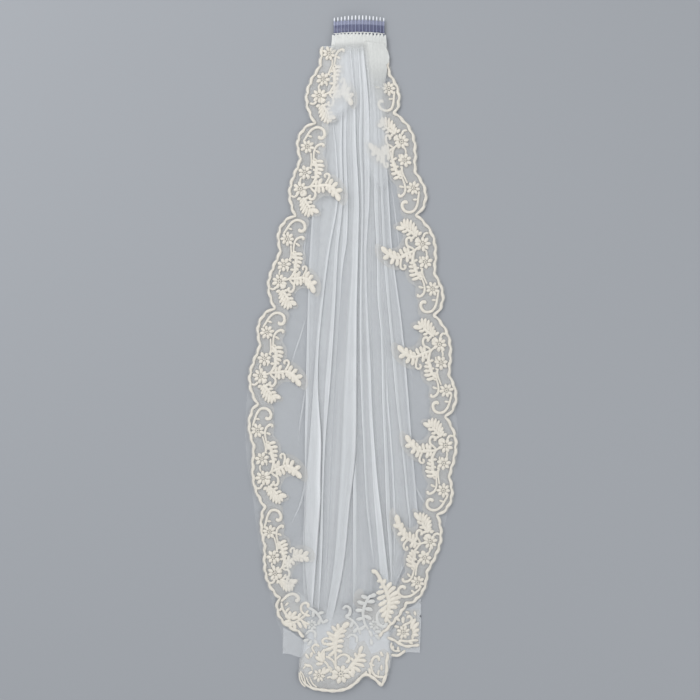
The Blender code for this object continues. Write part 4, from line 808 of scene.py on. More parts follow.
class Graph:
    """The nodes of one material, with one way of adding a node."""

    def __init__(self, name, **constants):
        self.material = bpy.data.materials.new(name)
        self.material.use_nodes = True
        self.tree = self.material.node_tree
        self.shader = self.tree.nodes["Principled BSDF"]
        for socket, value in constants.items():
            self.shader.inputs[socket.replace("_", " ")].default_value = value

    def node(self, kind, settings=None, values=None):
        """Add a node, set its settings first and then the values or links of its sockets."""
        made = self.tree.nodes.new(kind)
        for key, value in (settings or {}).items():
            setattr(made, key, value)
        for key, value in (values or {}).items():
            self.join(value, made.inputs[key])
        return made

    def join(self, value, socket):
        if isinstance(value, Signal):
            value = value.socket
        if isinstance(value, bpy.types.NodeSocket):
            self.tree.links.new(value, socket)
        else:
            socket.default_value = value

    def signal(self, node, output=0):
        return Signal(self, node.outputs[output])

    def place(self):
        """Object coordinates, as a vector socket."""
        return self.node("ShaderNodeTexCoord").outputs["Object"]

    def axes(self, vector):
        split = self.node("ShaderNodeSeparateXYZ", values={0: vector})
        return [self.signal(split, k) for k in range(3)]

    def noise(self, scale, detail=3.0, roughness=0.55, vector=None):
        node = self.node("ShaderNodeTexNoise", values={
            "Vector": self.place() if vector is None else vector,
            "Scale": scale, "Detail": detail, "Roughness": roughness})
        return self.signal(node)

    def mix(self, factor, first, second):
        node = self.node("ShaderNodeMix", {"data_type": "RGBA"}, {0: factor})
        self.join((*first, 1.0) if isinstance(first, tuple) else first, node.inputs[6])
        self.join((*second, 1.0) if isinstance(second, tuple) else second, node.inputs[7])
        return node.outputs[2]

    def bump(self, height, strength, distance):
        node = self.node("ShaderNodeBump", values={
            "Height": height, "Strength": strength, "Distance": distance})
        self.join(node.outputs[0], self.shader.inputs["Normal"])

    def net(self, cell):
        """Hexagonal mesh: 1 on its threads and 0 in the holes, on the piece's own x and y."""
        x, y, _ = self.axes(self.place())
        pitch = 4.0 * math.pi / (math.sqrt(3.0) * cell)
        slant_x, slant_y = 0.5 * pitch, SLANT * pitch
        waves = (x * pitch).cos() + (x * slant_x + y * slant_y).cos()
        waves = waves + (x * slant_x - y * slant_y).cos()
        return ((1.5 - waves) * (1.0 / 4.5)).clamped()

    def cover(self):
        node = self.node("ShaderNodeAttribute", {"attribute_name": "cover"})
        return self.signal(node, "Fac")

    def set(self, **values):
        for socket, value in values.items():
            self.join(value, self.shader.inputs[socket.replace("_", " ")])
        return self.material


def shaded(color, share):
    return tuple(channel * share for channel in color)


def tulle_material(name, color, cell, streaks=False):
    """Sheer net whose cover is an attribute; streaks follow the folds of a pleated sheet."""
    graph = Graph(name, Roughness=0.62, Sheen_Weight=0.25, Sheen_Roughness=0.5,
                  Specular_IOR_Level=0.25)
    net = graph.net(cell)
    cloud = graph.noise(9.0, 2.0)
    alpha = graph.cover() * (net * 0.75 + 0.75) * (cloud * 0.36 + 0.82)
    if streaks:
        uv = graph.node("ShaderNodeUVMap", {"uv_map": "Thread"}).outputs[0]
        stretched = graph.node("ShaderNodeVectorMath", {"operation": "MULTIPLY"},
                               {0: uv, 1: (0.11, 0.0022, 0.0)}).outputs[0]
        alpha = alpha * (graph.noise(1.0, 5.0, 0.62, stretched) * 2.0)
    tint = graph.mix(graph.noise(24.0), shaded(color, 0.93), tuple(color))
    graph.bump(net, 0.25, 0.0003)
    return graph.set(Alpha=alpha.clamped(), Base_Color=tint)


def ground_material(name, color, cell):
    """The lace's own net: a firmer, creamier mesh than the tulle."""
    graph = Graph(name, Roughness=0.7, Sheen_Weight=0.2, Specular_IOR_Level=0.2)
    net = graph.net(cell)
    alpha = graph.cover() * (net * 1.35 + 0.55)
    tint = graph.mix(graph.noise(60.0), shaded(color, 0.85), tuple(color))
    graph.bump(net, 0.4, 0.0004)
    return graph.set(Alpha=alpha.clamped(), Base_Color=tint)


def thread_material(name, color, pitch, cover=1.0):
    """Satin stitch: fine threads laid across each stroke, read from its own map, with painted shade
    in the grooves between them.
    """
    graph = Graph(name, Roughness=0.5, Sheen_Weight=0.35, Sheen_Roughness=0.4,
                  Specular_IOR_Level=0.35)
    uv = graph.node("ShaderNodeUVMap", {"uv_map": "Thread"}).outputs[0]
    along, across, _ = graph.axes(uv)
    wobble = graph.noise(0.9, 2.0, vector=uv)
    ridge = ((along + wobble * 0.5) * (math.tau / pitch)).cos() * 0.5 + 0.5
    # painted shade: the colour darkens in the grooves between the threads, mixed with random tone
    shade_and_tone = (ridge * 0.45 + graph.noise(180.0) * 0.75).clamped()
    tint = graph.mix(shade_and_tone, shaded(color, 0.72), shaded(color, 1.05))
    graph.bump(ridge, 0.55, 0.00025)
    return graph.set(Base_Color=tint, Alpha=cover)


GATHER_PITCH = 0.0011           # metres from one fine pleat of the heading to the next


def gathered_material(name, color):
    """Many layers of tulle gathered tight, so the net is lost in fine upright pleats, with painted
    shade in their hollows.
    """
    graph = Graph(name, Roughness=0.6, Sheen_Weight=0.3, Specular_IOR_Level=0.25)
    x, _, _ = graph.axes(graph.place())
    drift = graph.noise(70.0, 2.0)
    pleat = ((x + drift * 0.0012) * (math.tau / GATHER_PITCH)).cos() * 0.5 + 0.5
    # painted shade: the colour darkens in the hollows between the fine pleats, mixed with random
    # tone
    shade_and_tone = (pleat * 0.4 + graph.noise(240.0) * 0.7).clamped()
    tint = graph.mix(shade_and_tone, shaded(color, 0.8), shaded(color, 1.04))
    graph.bump(pleat, 0.45, 0.0004)
    return graph.set(Base_Color=tint, Alpha=graph.cover().clamped())


HATCH_X, HATCH_Y = 0.0021, 0.0032       # metres from line to line of the frosted band's hatching
TIP_COLOUR = (0.86, 0.88, 0.92)


def plastic_material(name, color, frosted, alpha, pitch):
    """Clear moulded plastic: each tooth shows as a pale line of painted highlight, then a frosted
    band and tips.
    """
    graph = Graph(name, IOR=1.49, Specular_IOR_Level=0.45, Coat_Weight=0.2, Coat_Roughness=0.35)
    flow = graph.noise(55.0, 2.0)
    fine = graph.noise(900.0, 2.0)
    x, y, _ = graph.axes(graph.place())
    tooth = ((x - FIRST_TOOTH * MM) * (math.tau / (pitch * MM))).cos() * 0.5 + 0.5
    line = tooth ** 9.0
    frost = ((y - FROST_Y * MM) * (1.0 / (FROST_FADE * MM))).clamped()
    tip = ((y - WEB_TOP_Y * MM) * (1.0 / (TIP_FADE * MM))).clamped()
    hatch = (x * (math.tau / HATCH_X) + y * (math.tau / HATCH_Y)).cos() * 0.5 + 0.5
    # painted highlight: the middle of each tooth is mixed towards the pale frosted tint
    tint = graph.mix((line * 0.55 + flow * 0.2).clamped(), shaded(color, 0.85), frosted)
    tint = graph.mix((frost * (hatch * 0.55 + 0.35)).clamped(), tint, frosted)
    tint = graph.mix(tip, tint, TIP_COLOUR)
    graph.bump(fine, 0.06, 0.0002)
    # the painted highlight down each tooth also raises its cover, so it shows paler
    cover = line * 0.2 + flow * 0.14 + (alpha - 0.07) + frost * 0.12 + tip * 0.3
    return graph.set(Base_Color=tint, Alpha=cover.clamped(),
                     Roughness=(fine * 0.1 + 0.27 + frost * 0.15).clamped())


def floor_material(name, color):
    graph = Graph(name, Roughness=0.85, Specular_IOR_Level=0.15)
    tint = graph.mix(graph.noise(3.0, 4.0), shaded(color, 0.985), tuple(color))
    return graph.set(Base_Color=tint)


# ---------------------------------------------------------------- meshes
def add_piece(name, points, faces, material, cover=None, thread=None, replaces=()):
    """Make a smooth-shaded piece from points in millimetres, riding on the veil."""
    mesh = bpy.data.meshes.new(name)
    mesh.from_pydata([(x * MM, y * MM, z * MM) for x, y, z in points], [], faces)
    mesh.materials.append(material)
    mesh.shade_smooth()
    if cover is not None:
        mesh.attributes.new("cover", "FLOAT", "POINT").data.foreach_set("value", cover)
    if thread is not None:
        layer = mesh.uv_layers.new(name="Thread")
        corners = np.empty(len(mesh.loops), dtype=np.int32)
        mesh.loops.foreach_get("vertex_index", corners)
        layer.data.foreach_set("uv", np.asarray(thread, dtype=np.float32)[corners].ravel())
    piece = bpy.data.objects.new(name, mesh)
    bpy.context.scene.collection.objects.link(piece)
    finish_piece(piece, replaces)
    return piece


def finish_piece(piece, replaces):
    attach(piece, "root")
    if replaces:
        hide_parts(*replaces)


def scattered(outline, spacing):
    """A triangulation of an outline with evenly spread points inside it."""
    ring = []
    for a, b in zip(outline, list(outline[1:]) + [outline[0]]):
        parts = max(1, math.ceil(math.dist(a, b) / spacing))
        ring += [(a[0] + (b[0] - a[0]) * k / parts, a[1] + (b[1] - a[1]) * k / parts)
                 for k in range(parts)]
    low = [min(point[k] for point in ring) for k in (0, 1)]
    high = [max(point[k] for point in ring) for k in (0, 1)]
    lattice = []
    row = 0
    y = low[1] + spacing / 2
    while y < high[1]:
        x = low[0] + spacing / (2 if row % 2 else 1)
        while x < high[0]:
            lattice.append((x, y))
            x += spacing
        y += spacing * SLANT
        row += 1
    lattice = np.asarray(lattice)
    lattice = lattice[inside(lattice, ring)]
    ring_array = np.asarray(ring)
    gap = np.sqrt(((lattice[:, None, :] - ring_array[None, :, :]) ** 2).sum(axis=2)).min(axis=1)
    lattice = lattice[gap > spacing * 0.45]
    points = [Vector(point) for point in ring] + [Vector(point) for point in lattice]
    edges = [(k, (k + 1) % len(ring)) for k in range(len(ring))]
    found = delaunay_2d_cdt(points, edges, [], 0, 0.01)
    flat, triangles = found[0], found[2]
    centres = [[sum(flat[k][c] for k in triangle) / 3 for c in (0, 1)] for triangle in triangles]
    keep = inside(centres, ring)
    return flat, [tuple(triangle) for triangle, kept in zip(triangles, keep) if kept]


def faded(outline, cover, reach):
    """A cover that falls to nothing at an outline's rim."""
    ring = [Vector(point) for point in spline(list(outline) + [outline[0]], 240)]

    def at(x, y):
        gap = min((point - Vector((x, y))).length for point in ring)
        return cover * smoothstep(gap / reach)

    return at


def tail_faded():
    """The layers behind the hem's lace hide most above it and least beside its cord."""
    rim = faded(TAIL_FLAP.outline, TAIL_FLAP.cover, TAIL_FLAP.fade)

    def at(x, y):
        top = smoothstep((TAIL_TOP_Y - y) / TAIL_TOP_FADE)
        low = smoothstep((y - TAIL_LOW_Y) / TAIL_LOW_FADE)
        return rim(x, y) * top * (TAIL_LOW_SHARE + (1.0 - TAIL_LOW_SHARE) * low)

    return at


class Sheets:
    """Open sheets of cloth gathered into one piece."""

    def __init__(self):
        self.points = []
        self.faces = []
        self.cover = []

    def add(self, outline, spacing, height, cover):
        flat, triangles = scattered(outline, spacing)
        first = len(self.points)
        self.points += [(x, y, height(x, y)) for x, y in flat]
        self.cover += [cover(x, y) for x, y in flat]
        self.faces += [tuple(first + k for k in triangle) for triangle in triangles]

    def add_crease(self, crease, height, cover):
        """A thin pinch that stands on the sheet, its two sides lying close together."""
        count = max(4, int(line_length(crease.points) / CREASE_SPACING))
        spine = spline(crease.points, count)
        first = len(self.points)
        for k, point in enumerate(spine):
            after, before = spine[min(k + 1, count - 1)], spine[max(k - 1, 0)]
            out = (after - before).normalized().orthogonal() * crease.width / 2
            end = math.sin(math.pi * (k + 0.4) / (count - 0.2))
            for side, up in ((-1, 0.1), (0, 0.9), (1, 0.1)):
                x, y = point + out * side * max(end, 0.15)
                self.points.append((x, y, height(x, y) + up * max(end, 0.1)))
                self.cover.append(cover * max(end, 0.2))
        for k in range(count - 1):
            a = first + 3 * k
            self.faces += [(a, a + 3, a + 4, a + 1), (a + 1, a + 4, a + 5, a + 2)]


# ---------------------------------------------------------------- satin strokes
def tube_faces(stations):
    """Faces of a closed tube that has so many rings of the stroke's section."""
    sides = len(SECTION)
    faces = [tuple(reversed(range(sides)))]
    for ring in range(stations - 1):
        for k in range(sides):
            a, b = ring * sides + k, ring * sides + (k + 1) % sides
            faces.append((a, b, b + sides, a + sides))
    faces.append(tuple((stations - 1) * sides + k for k in range(sides)))
    return faces


class Embroidery:
    """Satin-stitched strokes gathered into one piece, each laid on the surface under it."""

    STATION_STEP = 1.8          # along a stroke
    MOST_STATIONS = 900
    FULL_HALF = 3.2             # a finer stroke stands less high

    def __init__(self, surface, thickness):
        self.surface = surface
        self.thickness = thickness
        self.points = []
        self.faces = []
        self.thread = []

    def stroke(self, points, halves, lift=1.0, blunt=0.35):
        """One stroke along points, its half widths spread evenly down its length."""
        length = line_length(points)
        count = max(5, min(int(length / self.STATION_STEP) + 2, self.MOST_STATIONS))
        spine = spline(points, count)
        first = len(self.points)
        for k, point in enumerate(spine):
            share = k / (count - 1)
            place = share * (len(halves) - 1)
            low = min(int(place), len(halves) - 2)
            half = halves[low] + (place - low) * (halves[low + 1] - halves[low])
            from_end = min(share, 1.0 - share) * length
            taper = blunt + (1.0 - blunt) * math.sqrt(min(1.0, from_end / max(half, 0.4)))
            ahead = spine[min(k + 1, count - 1)] - spine[max(k - 1, 0)]
            out = Vector((-ahead.y, ahead.x)).normalized() * half * taper
            base = self.surface(*point)
            high = self.thickness * lift * taper * min(1.0, 0.45 + half / self.FULL_HALF)
            for across, up in SECTION:
                x, y = point - out * across
                self.points.append((x, y, base + up * high))
                self.thread.append((share * length, across * half))
        self.faces += [tuple(first + k for k in face) for face in tube_faces(count)]

    def cord(self, points, half, thin=1.0):
        """A round cord, pinched where each small scallop meets the next, its start thinner."""
        count = max(8, int(line_length(points) / 2.5))
        pinch = math.pi * line_length(points) / CORD_PITCH
        halves = [half * (thin + (1.0 - thin) * smoothstep(k / (count * 0.3)))
                  * (PINCH + SWELL * abs(math.sin(pinch * k / (count - 1)))) for k in range(count)]
        self.stroke(points, halves, lift=CORD_LIFT, blunt=CORD_BLUNT)

    def leaf(self, root, tip, half):
        """A leaf or petal: widest past its middle, slightly curved."""
        root, tip = Vector(root), Vector(tip)
        side = Vector((root.y - tip.y, tip.x - root.x)) * 0.06
        middle = root.lerp(tip, 0.5) + side
        self.stroke((root, middle, tip),
                    (half * 0.38, half * 0.82, half, half * 0.98, half * 0.66))

    def daisy(self, centre, radius, petals, turn):
        """Plump petals that nearly touch, round a small stitched ring."""
        centre = Vector(centre)
        half = math.pi * radius * 0.66 / petals * 0.96
        for k in range(petals):
            angle = turn + math.tau * (k + 0.04 * math.sin(turn * 3 + k * 2.4)) / petals
            reach = radius * (1.0 + 0.06 * math.sin(turn * 5 + k * 1.9))
            along = Vector((math.cos(angle), math.sin(angle)))
            self.stroke((centre + along * radius * 0.26, centre + along * reach * 0.65,
                         centre + along * reach),
                        (half * 0.5, half * 0.84, half, half * 0.98, half * 0.72))
        ring = [centre + Vector((math.cos(a), math.sin(a))) * radius * 0.17
                for a in (math.tau * k / 8 for k in range(9))]
        self.stroke(ring, (radius * 0.09, radius * 0.09), lift=1.1, blunt=0.9)

    def piece(self, name, material, replaces=()):
        return add_piece(name, self.points, self.faces, material, thread=self.thread,
                         replaces=replaces)


# ---------------------------------------------------------------- properties
class VeilSizes(PropertyGroup):
    """Sizes that change the veil's detail."""

    cord_half: FloatProperty(name="Cord half width", default=0.0024, unit="LENGTH",
                             description="Half the width of the corded edge")
    stitch_height: FloatProperty(name="Stitch height", default=0.0011, unit="LENGTH",
                                 description="How far the embroidery stands out of its net")
    net_cell: FloatProperty(name="Tulle cell", default=0.0016, unit="LENGTH",
                            description="Width of one cell of the tulle")
    ground_cell: FloatProperty(name="Lace ground cell", default=0.0021, unit="LENGTH",
                               description="Width of one cell of the lace's net")
    thread_pitch: FloatProperty(name="Thread pitch", default=0.6,
                                description="Satin threads' pitch, in millimetres")
    gathers: IntProperty(name="Heading gathers", default=44, min=8,
                         description="Small gathers across the heading")
    teeth: IntProperty(name="Comb teeth", default=15, min=5,
                       description="Number of teeth on the comb")


class VeilColours(PropertyGroup):
    """Colours and covers of the veil and its stage."""

    tulle: FloatVectorProperty(name="Tulle", subtype="COLOR", default=(0.84, 0.86, 0.88),
                               description="Colour of the sheer net")
    gathered: FloatVectorProperty(name="Gathered tulle", subtype="COLOR",
                                  default=(0.80, 0.81, 0.785),
                                  description="Colour of the tulle gathered on the comb")
    lace: FloatVectorProperty(name="Lace", subtype="COLOR", default=(0.86, 0.81, 0.72),
                              description="Colour of the embroidery and its cord")
    veiled: FloatVectorProperty(name="Veiled lace", subtype="COLOR", default=(0.81, 0.81, 0.79),
                                description="Colour of lace seen through the hem's tulle")
    ground: FloatVectorProperty(name="Lace ground", subtype="COLOR", default=(0.80, 0.78, 0.74),
                                description="Colour of the lace's net")
    comb: FloatVectorProperty(name="Comb", subtype="COLOR", default=(0.15, 0.16, 0.30),
                              description="Tint of the clear comb")
    # this tint is also the colour of the painted highlight down each tooth
    comb_frost_and_highlight: FloatVectorProperty(name="Comb frost", subtype="COLOR",
                                    default=(0.46, 0.49, 0.64),
                                    description="Tint of the comb's frosted band")
    comb_cover: FloatProperty(name="Comb cover", default=0.62, min=0.0, max=1.0,
                              subtype="FACTOR", description="How much the comb hides")
    ground_cover: FloatProperty(name="Lace ground cover", default=0.3, min=0.0, max=1.0,
                                subtype="FACTOR", description="How much the lace's net hides")
    floor: FloatVectorProperty(name="Floor", subtype="COLOR", default=(0.34, 0.355, 0.38),
                               description="Colour of the plain floor")


# ---------------------------------------------------------------- plain layers
def front_outline(run, side):
    """The tulle under a side's lace, from its edge to the hidden layers."""
    steps = [run.start + (run.end - run.start) * k / EDGE_STEPS for k in range(EDGE_STEPS + 1)]
    edge = [tuple(edge_point(run, place, FRONT_INSET)) for place in steps]
    top = 0 if side < 0 else -1
    edge[top] = (edge[top][0], SEAM_Y)
    low = min(point[1] for point in edge)
    column, shift = (COLUMN_LEFT, MOUND_INSET) if side < 0 else (COLUMN_RIGHT, -MOUND_INSET)
    levels = [SEAM_Y - (SEAM_Y - low) * k / COLUMN_STEPS for k in range(COLUMN_STEPS + 1)]
    line = [(column(y) + shift, y) for y in levels]
    return edge + line[::-1] if side < 0 else edge + line


class VEIL_OT_layers(Operator):
    """Lay out the tulle's plain layers: back, turned fronts and corners"""

    bl_idname = "veil.layers"
    bl_label = "Plain Layers"

    def execute(self, context):
        colours, sizes = context.scene.veil_colours, context.scene.veil_sizes
        tulle = tulle_material("tulle", colours.tulle, sizes.net_cell)
        back = Sheets()
        back.add(BACK_LEFT + BACK_HEM + tuple(reversed(BACK_RIGHT)), TULLE_SPACING,
                 lambda x, y: BACK_Z + rise(x, y), lambda x, y: SIDES_HIDE(y))
        piece = add_piece("back_sheet", back.points, back.faces, tulle, back.cover,
                          replaces=("back_tulle",))
        for name, run, side in (("left_front", LEFT_RUN, -1), ("right_front", RIGHT_RUN, 1)):
            front = Sheets()
            front.add(front_outline(run, side), TULLE_SPACING,
                      lambda x, y: FRONT_Z + rise(x, y), lambda x, y: SIDES_HIDE(y))
            for crease in CREASES:
                if (crease.points[0][0] > 0) == (side > 0):
                    front.add_crease(crease, lambda x, y: FRONT_Z + CREASE_LIFT + rise(x, y),
                                     CREASE_COVER)
            piece = add_piece(name + "_sheet", front.points, front.faces, tulle, front.cover,
                              replaces=(name,))
        for name, outline, flat, area in (("fold_left", FOLD_LEFT, (0.048, 0.048), 0.0016),
                                          ("fold_right", FOLD_RIGHT, (0.055, 0.095), 0.0032)):
            corner = Sheets()
            corner.add(outline, CORNER_SPACING, lambda x, y: FRONT_Z + CORNER_LIFT + rise(x, y),
                       lambda x, y: CORNER_COVER)
            piece = add_piece(name + "_sheet", corner.points, corner.faces, tulle, corner.cover,
                              replaces=(name,))
        return {"FINISHED"}


class VEIL_OT_hidden(Operator):
    """Lay the layers folded away under the pleated middle"""

    bl_idname = "veil.hidden"
    bl_label = "Hidden Folds"

    ABOVE_HEM = 4.0
    PAST_MOUND = 8.0

    def execute(self, context):
        colours, sizes = context.scene.veil_colours, context.scene.veil_sizes
        low = BACK_HEM[0][1] + self.ABOVE_HEM
        steps = [SEAM_Y + (low - SEAM_Y) * k / COLUMN_STEPS for k in range(COLUMN_STEPS + 1)]
        outline = [(COLUMN_LEFT(y) + MOUND_INSET - self.PAST_MOUND, y) for y in steps]
        outline += [(COLUMN_RIGHT(y) - MOUND_INSET + self.PAST_MOUND, y) for y in reversed(steps)]
        layer = Sheets()
        layer.add(outline, HIDDEN_SPACING, lambda x, y: HIDDEN_Z + mound(x, y) + rise(x, y),
                  lambda x, y: HIDDEN_HIDE(y))
        tulle = tulle_material("tulle_under", colours.tulle, sizes.net_cell * 1.1)
        piece = add_piece("hidden_sheet", layer.points, layer.faces, tulle, layer.cover,
                          replaces=("hidden_folds",))
        return {"FINISHED"}


# ---------------------------------------------------------------- pleated middle
def pleat_row(tucks, y):
    """One row of the pleated middle, in the order the cloth runs: x, height and cover."""
    placed = []
    low = None
    for shape, left_curve, width_curve in tucks:
        left, width = left_curve(y), max(NARROWEST_FOLD, width_curve(y))
        if low is not None and left < low + NARROWEST_GAP:
            width = max(NARROWEST_FOLD, left + width - low - NARROWEST_GAP)
            left = low + NARROWEST_GAP
        placed.append([shape, left, width])
        low = left + width
    fold = max(0.0, COLUMN_FOLD(y))
    heights = []
    for shape, left, width in placed:
        crest = left + width if shape.side > 0 else left
        share = min(1.0, NARROW_STAND + (1.0 - NARROW_STAND) * width / FULL_WIDTH)
        full = FOLD_BASE + shape.height * fold * FOLD_STAND * share
        heights.append(min(full, room(crest, y) - CREST_GAP))
    row = []
    for k, ((shape, left, width), height) in enumerate(zip(placed, heights)):
        bends = TUCK_SHAPE
        if shape.side < 0:
            bends = [bend._replace(across=1.0 - bend.across) for bend in reversed(TUCK_SHAPE)]
        if k == 0:
            bends = bends[-EDGE_BENDS:]
        elif k == len(placed) - 1:
            bends = bends[:EDGE_BENDS]
        firm = min(1.0, width / FULL_WIDTH)
        row += [(left + width * bend.across, height * bend.lift,
                 1.0 + (bend.cover - 1.0) * firm - NARROW_LOSS * (1.0 - firm)) for bend in bends]
        if k + 1 < len(placed):
            following, next_left, _ = placed[k + 1]
            start = height * TUCK_SHAPE[0].lift if shape.side < 0 else 0.0
            end = heights[k + 1] * TUCK_SHAPE[0].lift if following.side > 0 else 0.0
            here, gap = left + width, next_left - left - width
            row += [(here + gap * f, start * (1.0 - f) ** VALLEY_CURVE + end * f ** VALLEY_CURVE,
                     VALLEY_COVER) for f in VALLEY]
    return row


class VEIL_OT_pleats(Operator):
    """Fold the veil's pleated middle out of one sheet"""

    bl_idname = "veil.pleats"
    bl_label = "Pleated Middle"

    def execute(self, context):
        colours, sizes = context.scene.veil_colours, context.scene.veil_sizes
        tucks = [(tuck, Curve([(y, x) for y, x, _ in tuck.path]),
                  Curve([(y, width) for y, _, width in tuck.path])) for tuck in TUCKS]
        rows = int((PLEAT_TOP_Y - HEM_Y) / ROW_STEP)
        points, cover, cloth = [], [], []
        for r in range(rows + 1):
            y = PLEAT_TOP_Y - (PLEAT_TOP_Y - HEM_Y) * r / rows
            stretch = max(0.0, (HEM_STRETCH_Y - y) / (HEM_STRETCH_Y - HEM_Y)) ** 2
            row = pleat_row(tucks, y)
            for line, (x, height, hides) in enumerate(row):
                end = y + stretch * (HEM_LINE(x) - HEM_Y)
                points.append((x, end, PLEAT_Z + mound(x, y) + height + rise(x, end)))
                cover.append(min(1.0, PLEATS_HIDE(y) * (1.0 + (hides - 1.0) * FOLDS_SHOW(y))))
                cloth.append((line * FOLD_CLOTH, end))
        columns = len(row)
        faces = [(r * columns + c, (r + 1) * columns + c, (r + 1) * columns + c + 1,
                  r * columns + c + 1) for r in range(rows) for c in range(columns - 1)]
        tulle = tulle_material("pleated_tulle", colours.tulle, sizes.net_cell, streaks=True)
        piece = add_piece("pleated_sheet", points, faces, tulle, cover, cloth,
                          replaces=("centre_pleats",))
        return {"FINISHED"}


class VEIL_OT_haze(Operator):
    """Lay the loose tulle over and under the lace beside the pleated middle"""

    bl_idname = "veil.haze"
    bl_label = "Covering Tulle"

    def execute(self, context):
        colours, sizes = context.scene.veil_colours, context.scene.veil_sizes
        tulle = tulle_material("covering_tulle", colours.tulle, sizes.net_cell)
        for flap in FLAPS:
            self.lay(flap, faded(flap.outline, flap.cover, flap.fade), tulle)
        self.lay(TAIL_FLAP, tail_faded(), tulle)
        return {"FINISHED"}

    @staticmethod
    def lay(flap, cover, tulle):
        cloth = Sheets()
        cloth.add(flap.outline, FLAP_SPACING, lambda x, y: lace_top(x, y) + flap.lift, cover)
        piece = add_piece(flap.name, cloth.points, cloth.faces, tulle, cloth.cover)


# ---------------------------------------------------------------- lace
def ground_outline(run):
    """Outline of one side's lace ground: the scalloped edge and the line it is cut to inside."""
    step = 1.0 / (SMALL_SCALLOPS * OUTLINE_STEPS)
    count = int((run.end - run.start) / step)
    places = [run.start + (run.end - run.start) * k / count for k in range(count + 1)]
    edge = [tuple(edge_point(run, place, -NET_HALO)) for place in places]
    inner = []
    for repeat in range(len(run.notches) - 1):
        for s, t in LACE_INNER:
            if run.inner_start <= repeat + s / REPEAT <= run.inner_end:
                inner.append(tuple(trim_point(run, repeat, s, t)))
    inner = [tuple(point) for point in spline(inner, int(line_length(inner) / 4.0))]
    if run.strip:
        inner += [tuple(edge_point(run, place, STRIP_WIDTH)) for place in places
                  if place > run.inner_end + 0.05]
    return edge + inner[::-1]


def draw_repeats(work, run, cord_half):
    """The corded edge and every repeat's motifs along one side."""
    count = int((run.end - run.start) * SMALL_SCALLOPS * OUTLINE_STEPS)
    places = [run.start + (run.end - run.start) * k / count for k in range(count + 1)]
    halves = [cord_half * (PINCH + SWELL * abs(math.sin(math.pi * SMALL_SCALLOPS * place)))
              for place in places]
    work.stroke([edge_point(run, place, cord_half) for place in places], halves,
                lift=CORD_LIFT, blunt=CORD_BLUNT)
    for repeat in range(len(run.notches) - 1):
        def drawn(deepest, *places):
            low, high = repeat + min(places) / REPEAT, repeat + max(places) / REPEAT
            return low >= run.drawn_from and high <= run.drawn_to and (
                deepest <= SHALLOW or run.notches[repeat].reach > 0.5)

        def laid(point):
            return trim_point(run, repeat, *point)

        for stroke in STROKES:
            if drawn(max(t for _, t in stroke.points), *(s for s, _ in stroke.points)):
                work.stroke([laid(point) for point in stroke.points], stroke.halves)
        for leaf in LEAVES:
            if drawn(max(leaf.root[1], leaf.tip[1]), leaf.root[0], leaf.tip[0]):
                work.leaf(laid(leaf.root), laid(leaf.tip), leaf.half)
        for daisy in DAISIES:
            if drawn(0.0, daisy.x - daisy.radius / 2, daisy.x + daisy.radius * 0.8):
                work.daisy(laid((daisy.x, daisy.y)), daisy.radius, daisy.petals,
                           daisy.x + repeat)


def draw_patch(work, strokes, leaves, daisies):
    for stroke in strokes:
        work.stroke(stroke.points, stroke.halves)
    for leaf in leaves:
        work.leaf(leaf.root, leaf.tip, leaf.half)
    for daisy in daisies:
        work.daisy((daisy.x, daisy.y), daisy.radius, daisy.petals, daisy.x)


def inset_line(line, distance):
    """A broken line moved to its left."""
    line = [Vector(point) for point in line]
    moved = []
    for k, point in enumerate(line):
        along = (line[min(k + 1, len(line) - 1)] - line[max(k - 1, 0)]).normalized()
        moved.append(point + Vector((-along.y, along.x)) * distance)
    return moved


class VEIL_OT_lace(Operator):
    """Lay the lace: its net ground, corded edge and embroidered motifs"""

    bl_idname = "veil.lace"
    bl_label = "Lace Trim"

    def execute(self, context):
        colours, sizes = context.scene.veil_colours, context.scene.veil_sizes
        net = ground_material("lace_net", colours.ground, sizes.ground_cell)
        thread = thread_material("lace_thread", colours.lace, sizes.thread_pitch)
        cord, high = sizes.cord_half / MM, sizes.stitch_height / MM
        patches = []
        for name, run, strokes, leaves in (
                ("lace_left", LEFT_RUN, LEFT_END_STROKES, LEFT_END_LEAVES),
                ("lace_right", RIGHT_RUN, RIGHT_END_STROKES, RIGHT_END_LEAVES)):
            work = Embroidery(lace_top, high)
            draw_repeats(work, run, cord)
            draw_patch(work, strokes, leaves, ())
            patches.append((name, ground_outline(run), work, (0.1, 1.0), 0.05))
        tail = Embroidery(lace_top, high)
        tail.cord(inset_line(spline(HEM, 60), cord + 0.4), cord + 0.3, thin=0.5)
        draw_patch(tail, HEM_STROKES, HEM_LEAVES, HEM_DAISIES)
        patches.append(("lace_tail", list(HEM) + list(reversed(HEM_INNER)), tail,
                        (0.145, 0.118), 0.0095))
        corner = Embroidery(lace_top, high)
        corner.cord(inset_line(spline(CORNER_EDGE, 24), cord), cord)
        draw_patch(corner, CORNER_STROKES, CORNER_LEAVES, CORNER_DAISIES)
        patches.append(("lace_fold", list(CORNER_EDGE) + list(CORNER_INNER), corner,
                        (0.045, 0.062), 0.0017))
        for name, outline, work, flat, area in patches:
            motifs = work.piece(name + "_motifs", thread)
            ground = Sheets()
            ground.add(outline, NET_SPACING, lambda x, y: lace_top(x, y) - NET_DROP,
                       lambda x, y: colours.ground_cover)
            piece = add_piece(name + "_net", ground.points, ground.faces, net, ground.cover,
                              replaces=(name,))
        ghost = Embroidery(lambda x, y: lace_top(x, y) - GHOST_DROP, GHOST_THICK)
        draw_patch(ghost, GHOST_STROKES, GHOST_LEAVES, GHOST_DAISIES)
        ghost.piece("under_motifs", thread_material("veiled_thread", colours.veiled,
                                                    sizes.thread_pitch, cover=0.9))
        return {"FINISHED"}


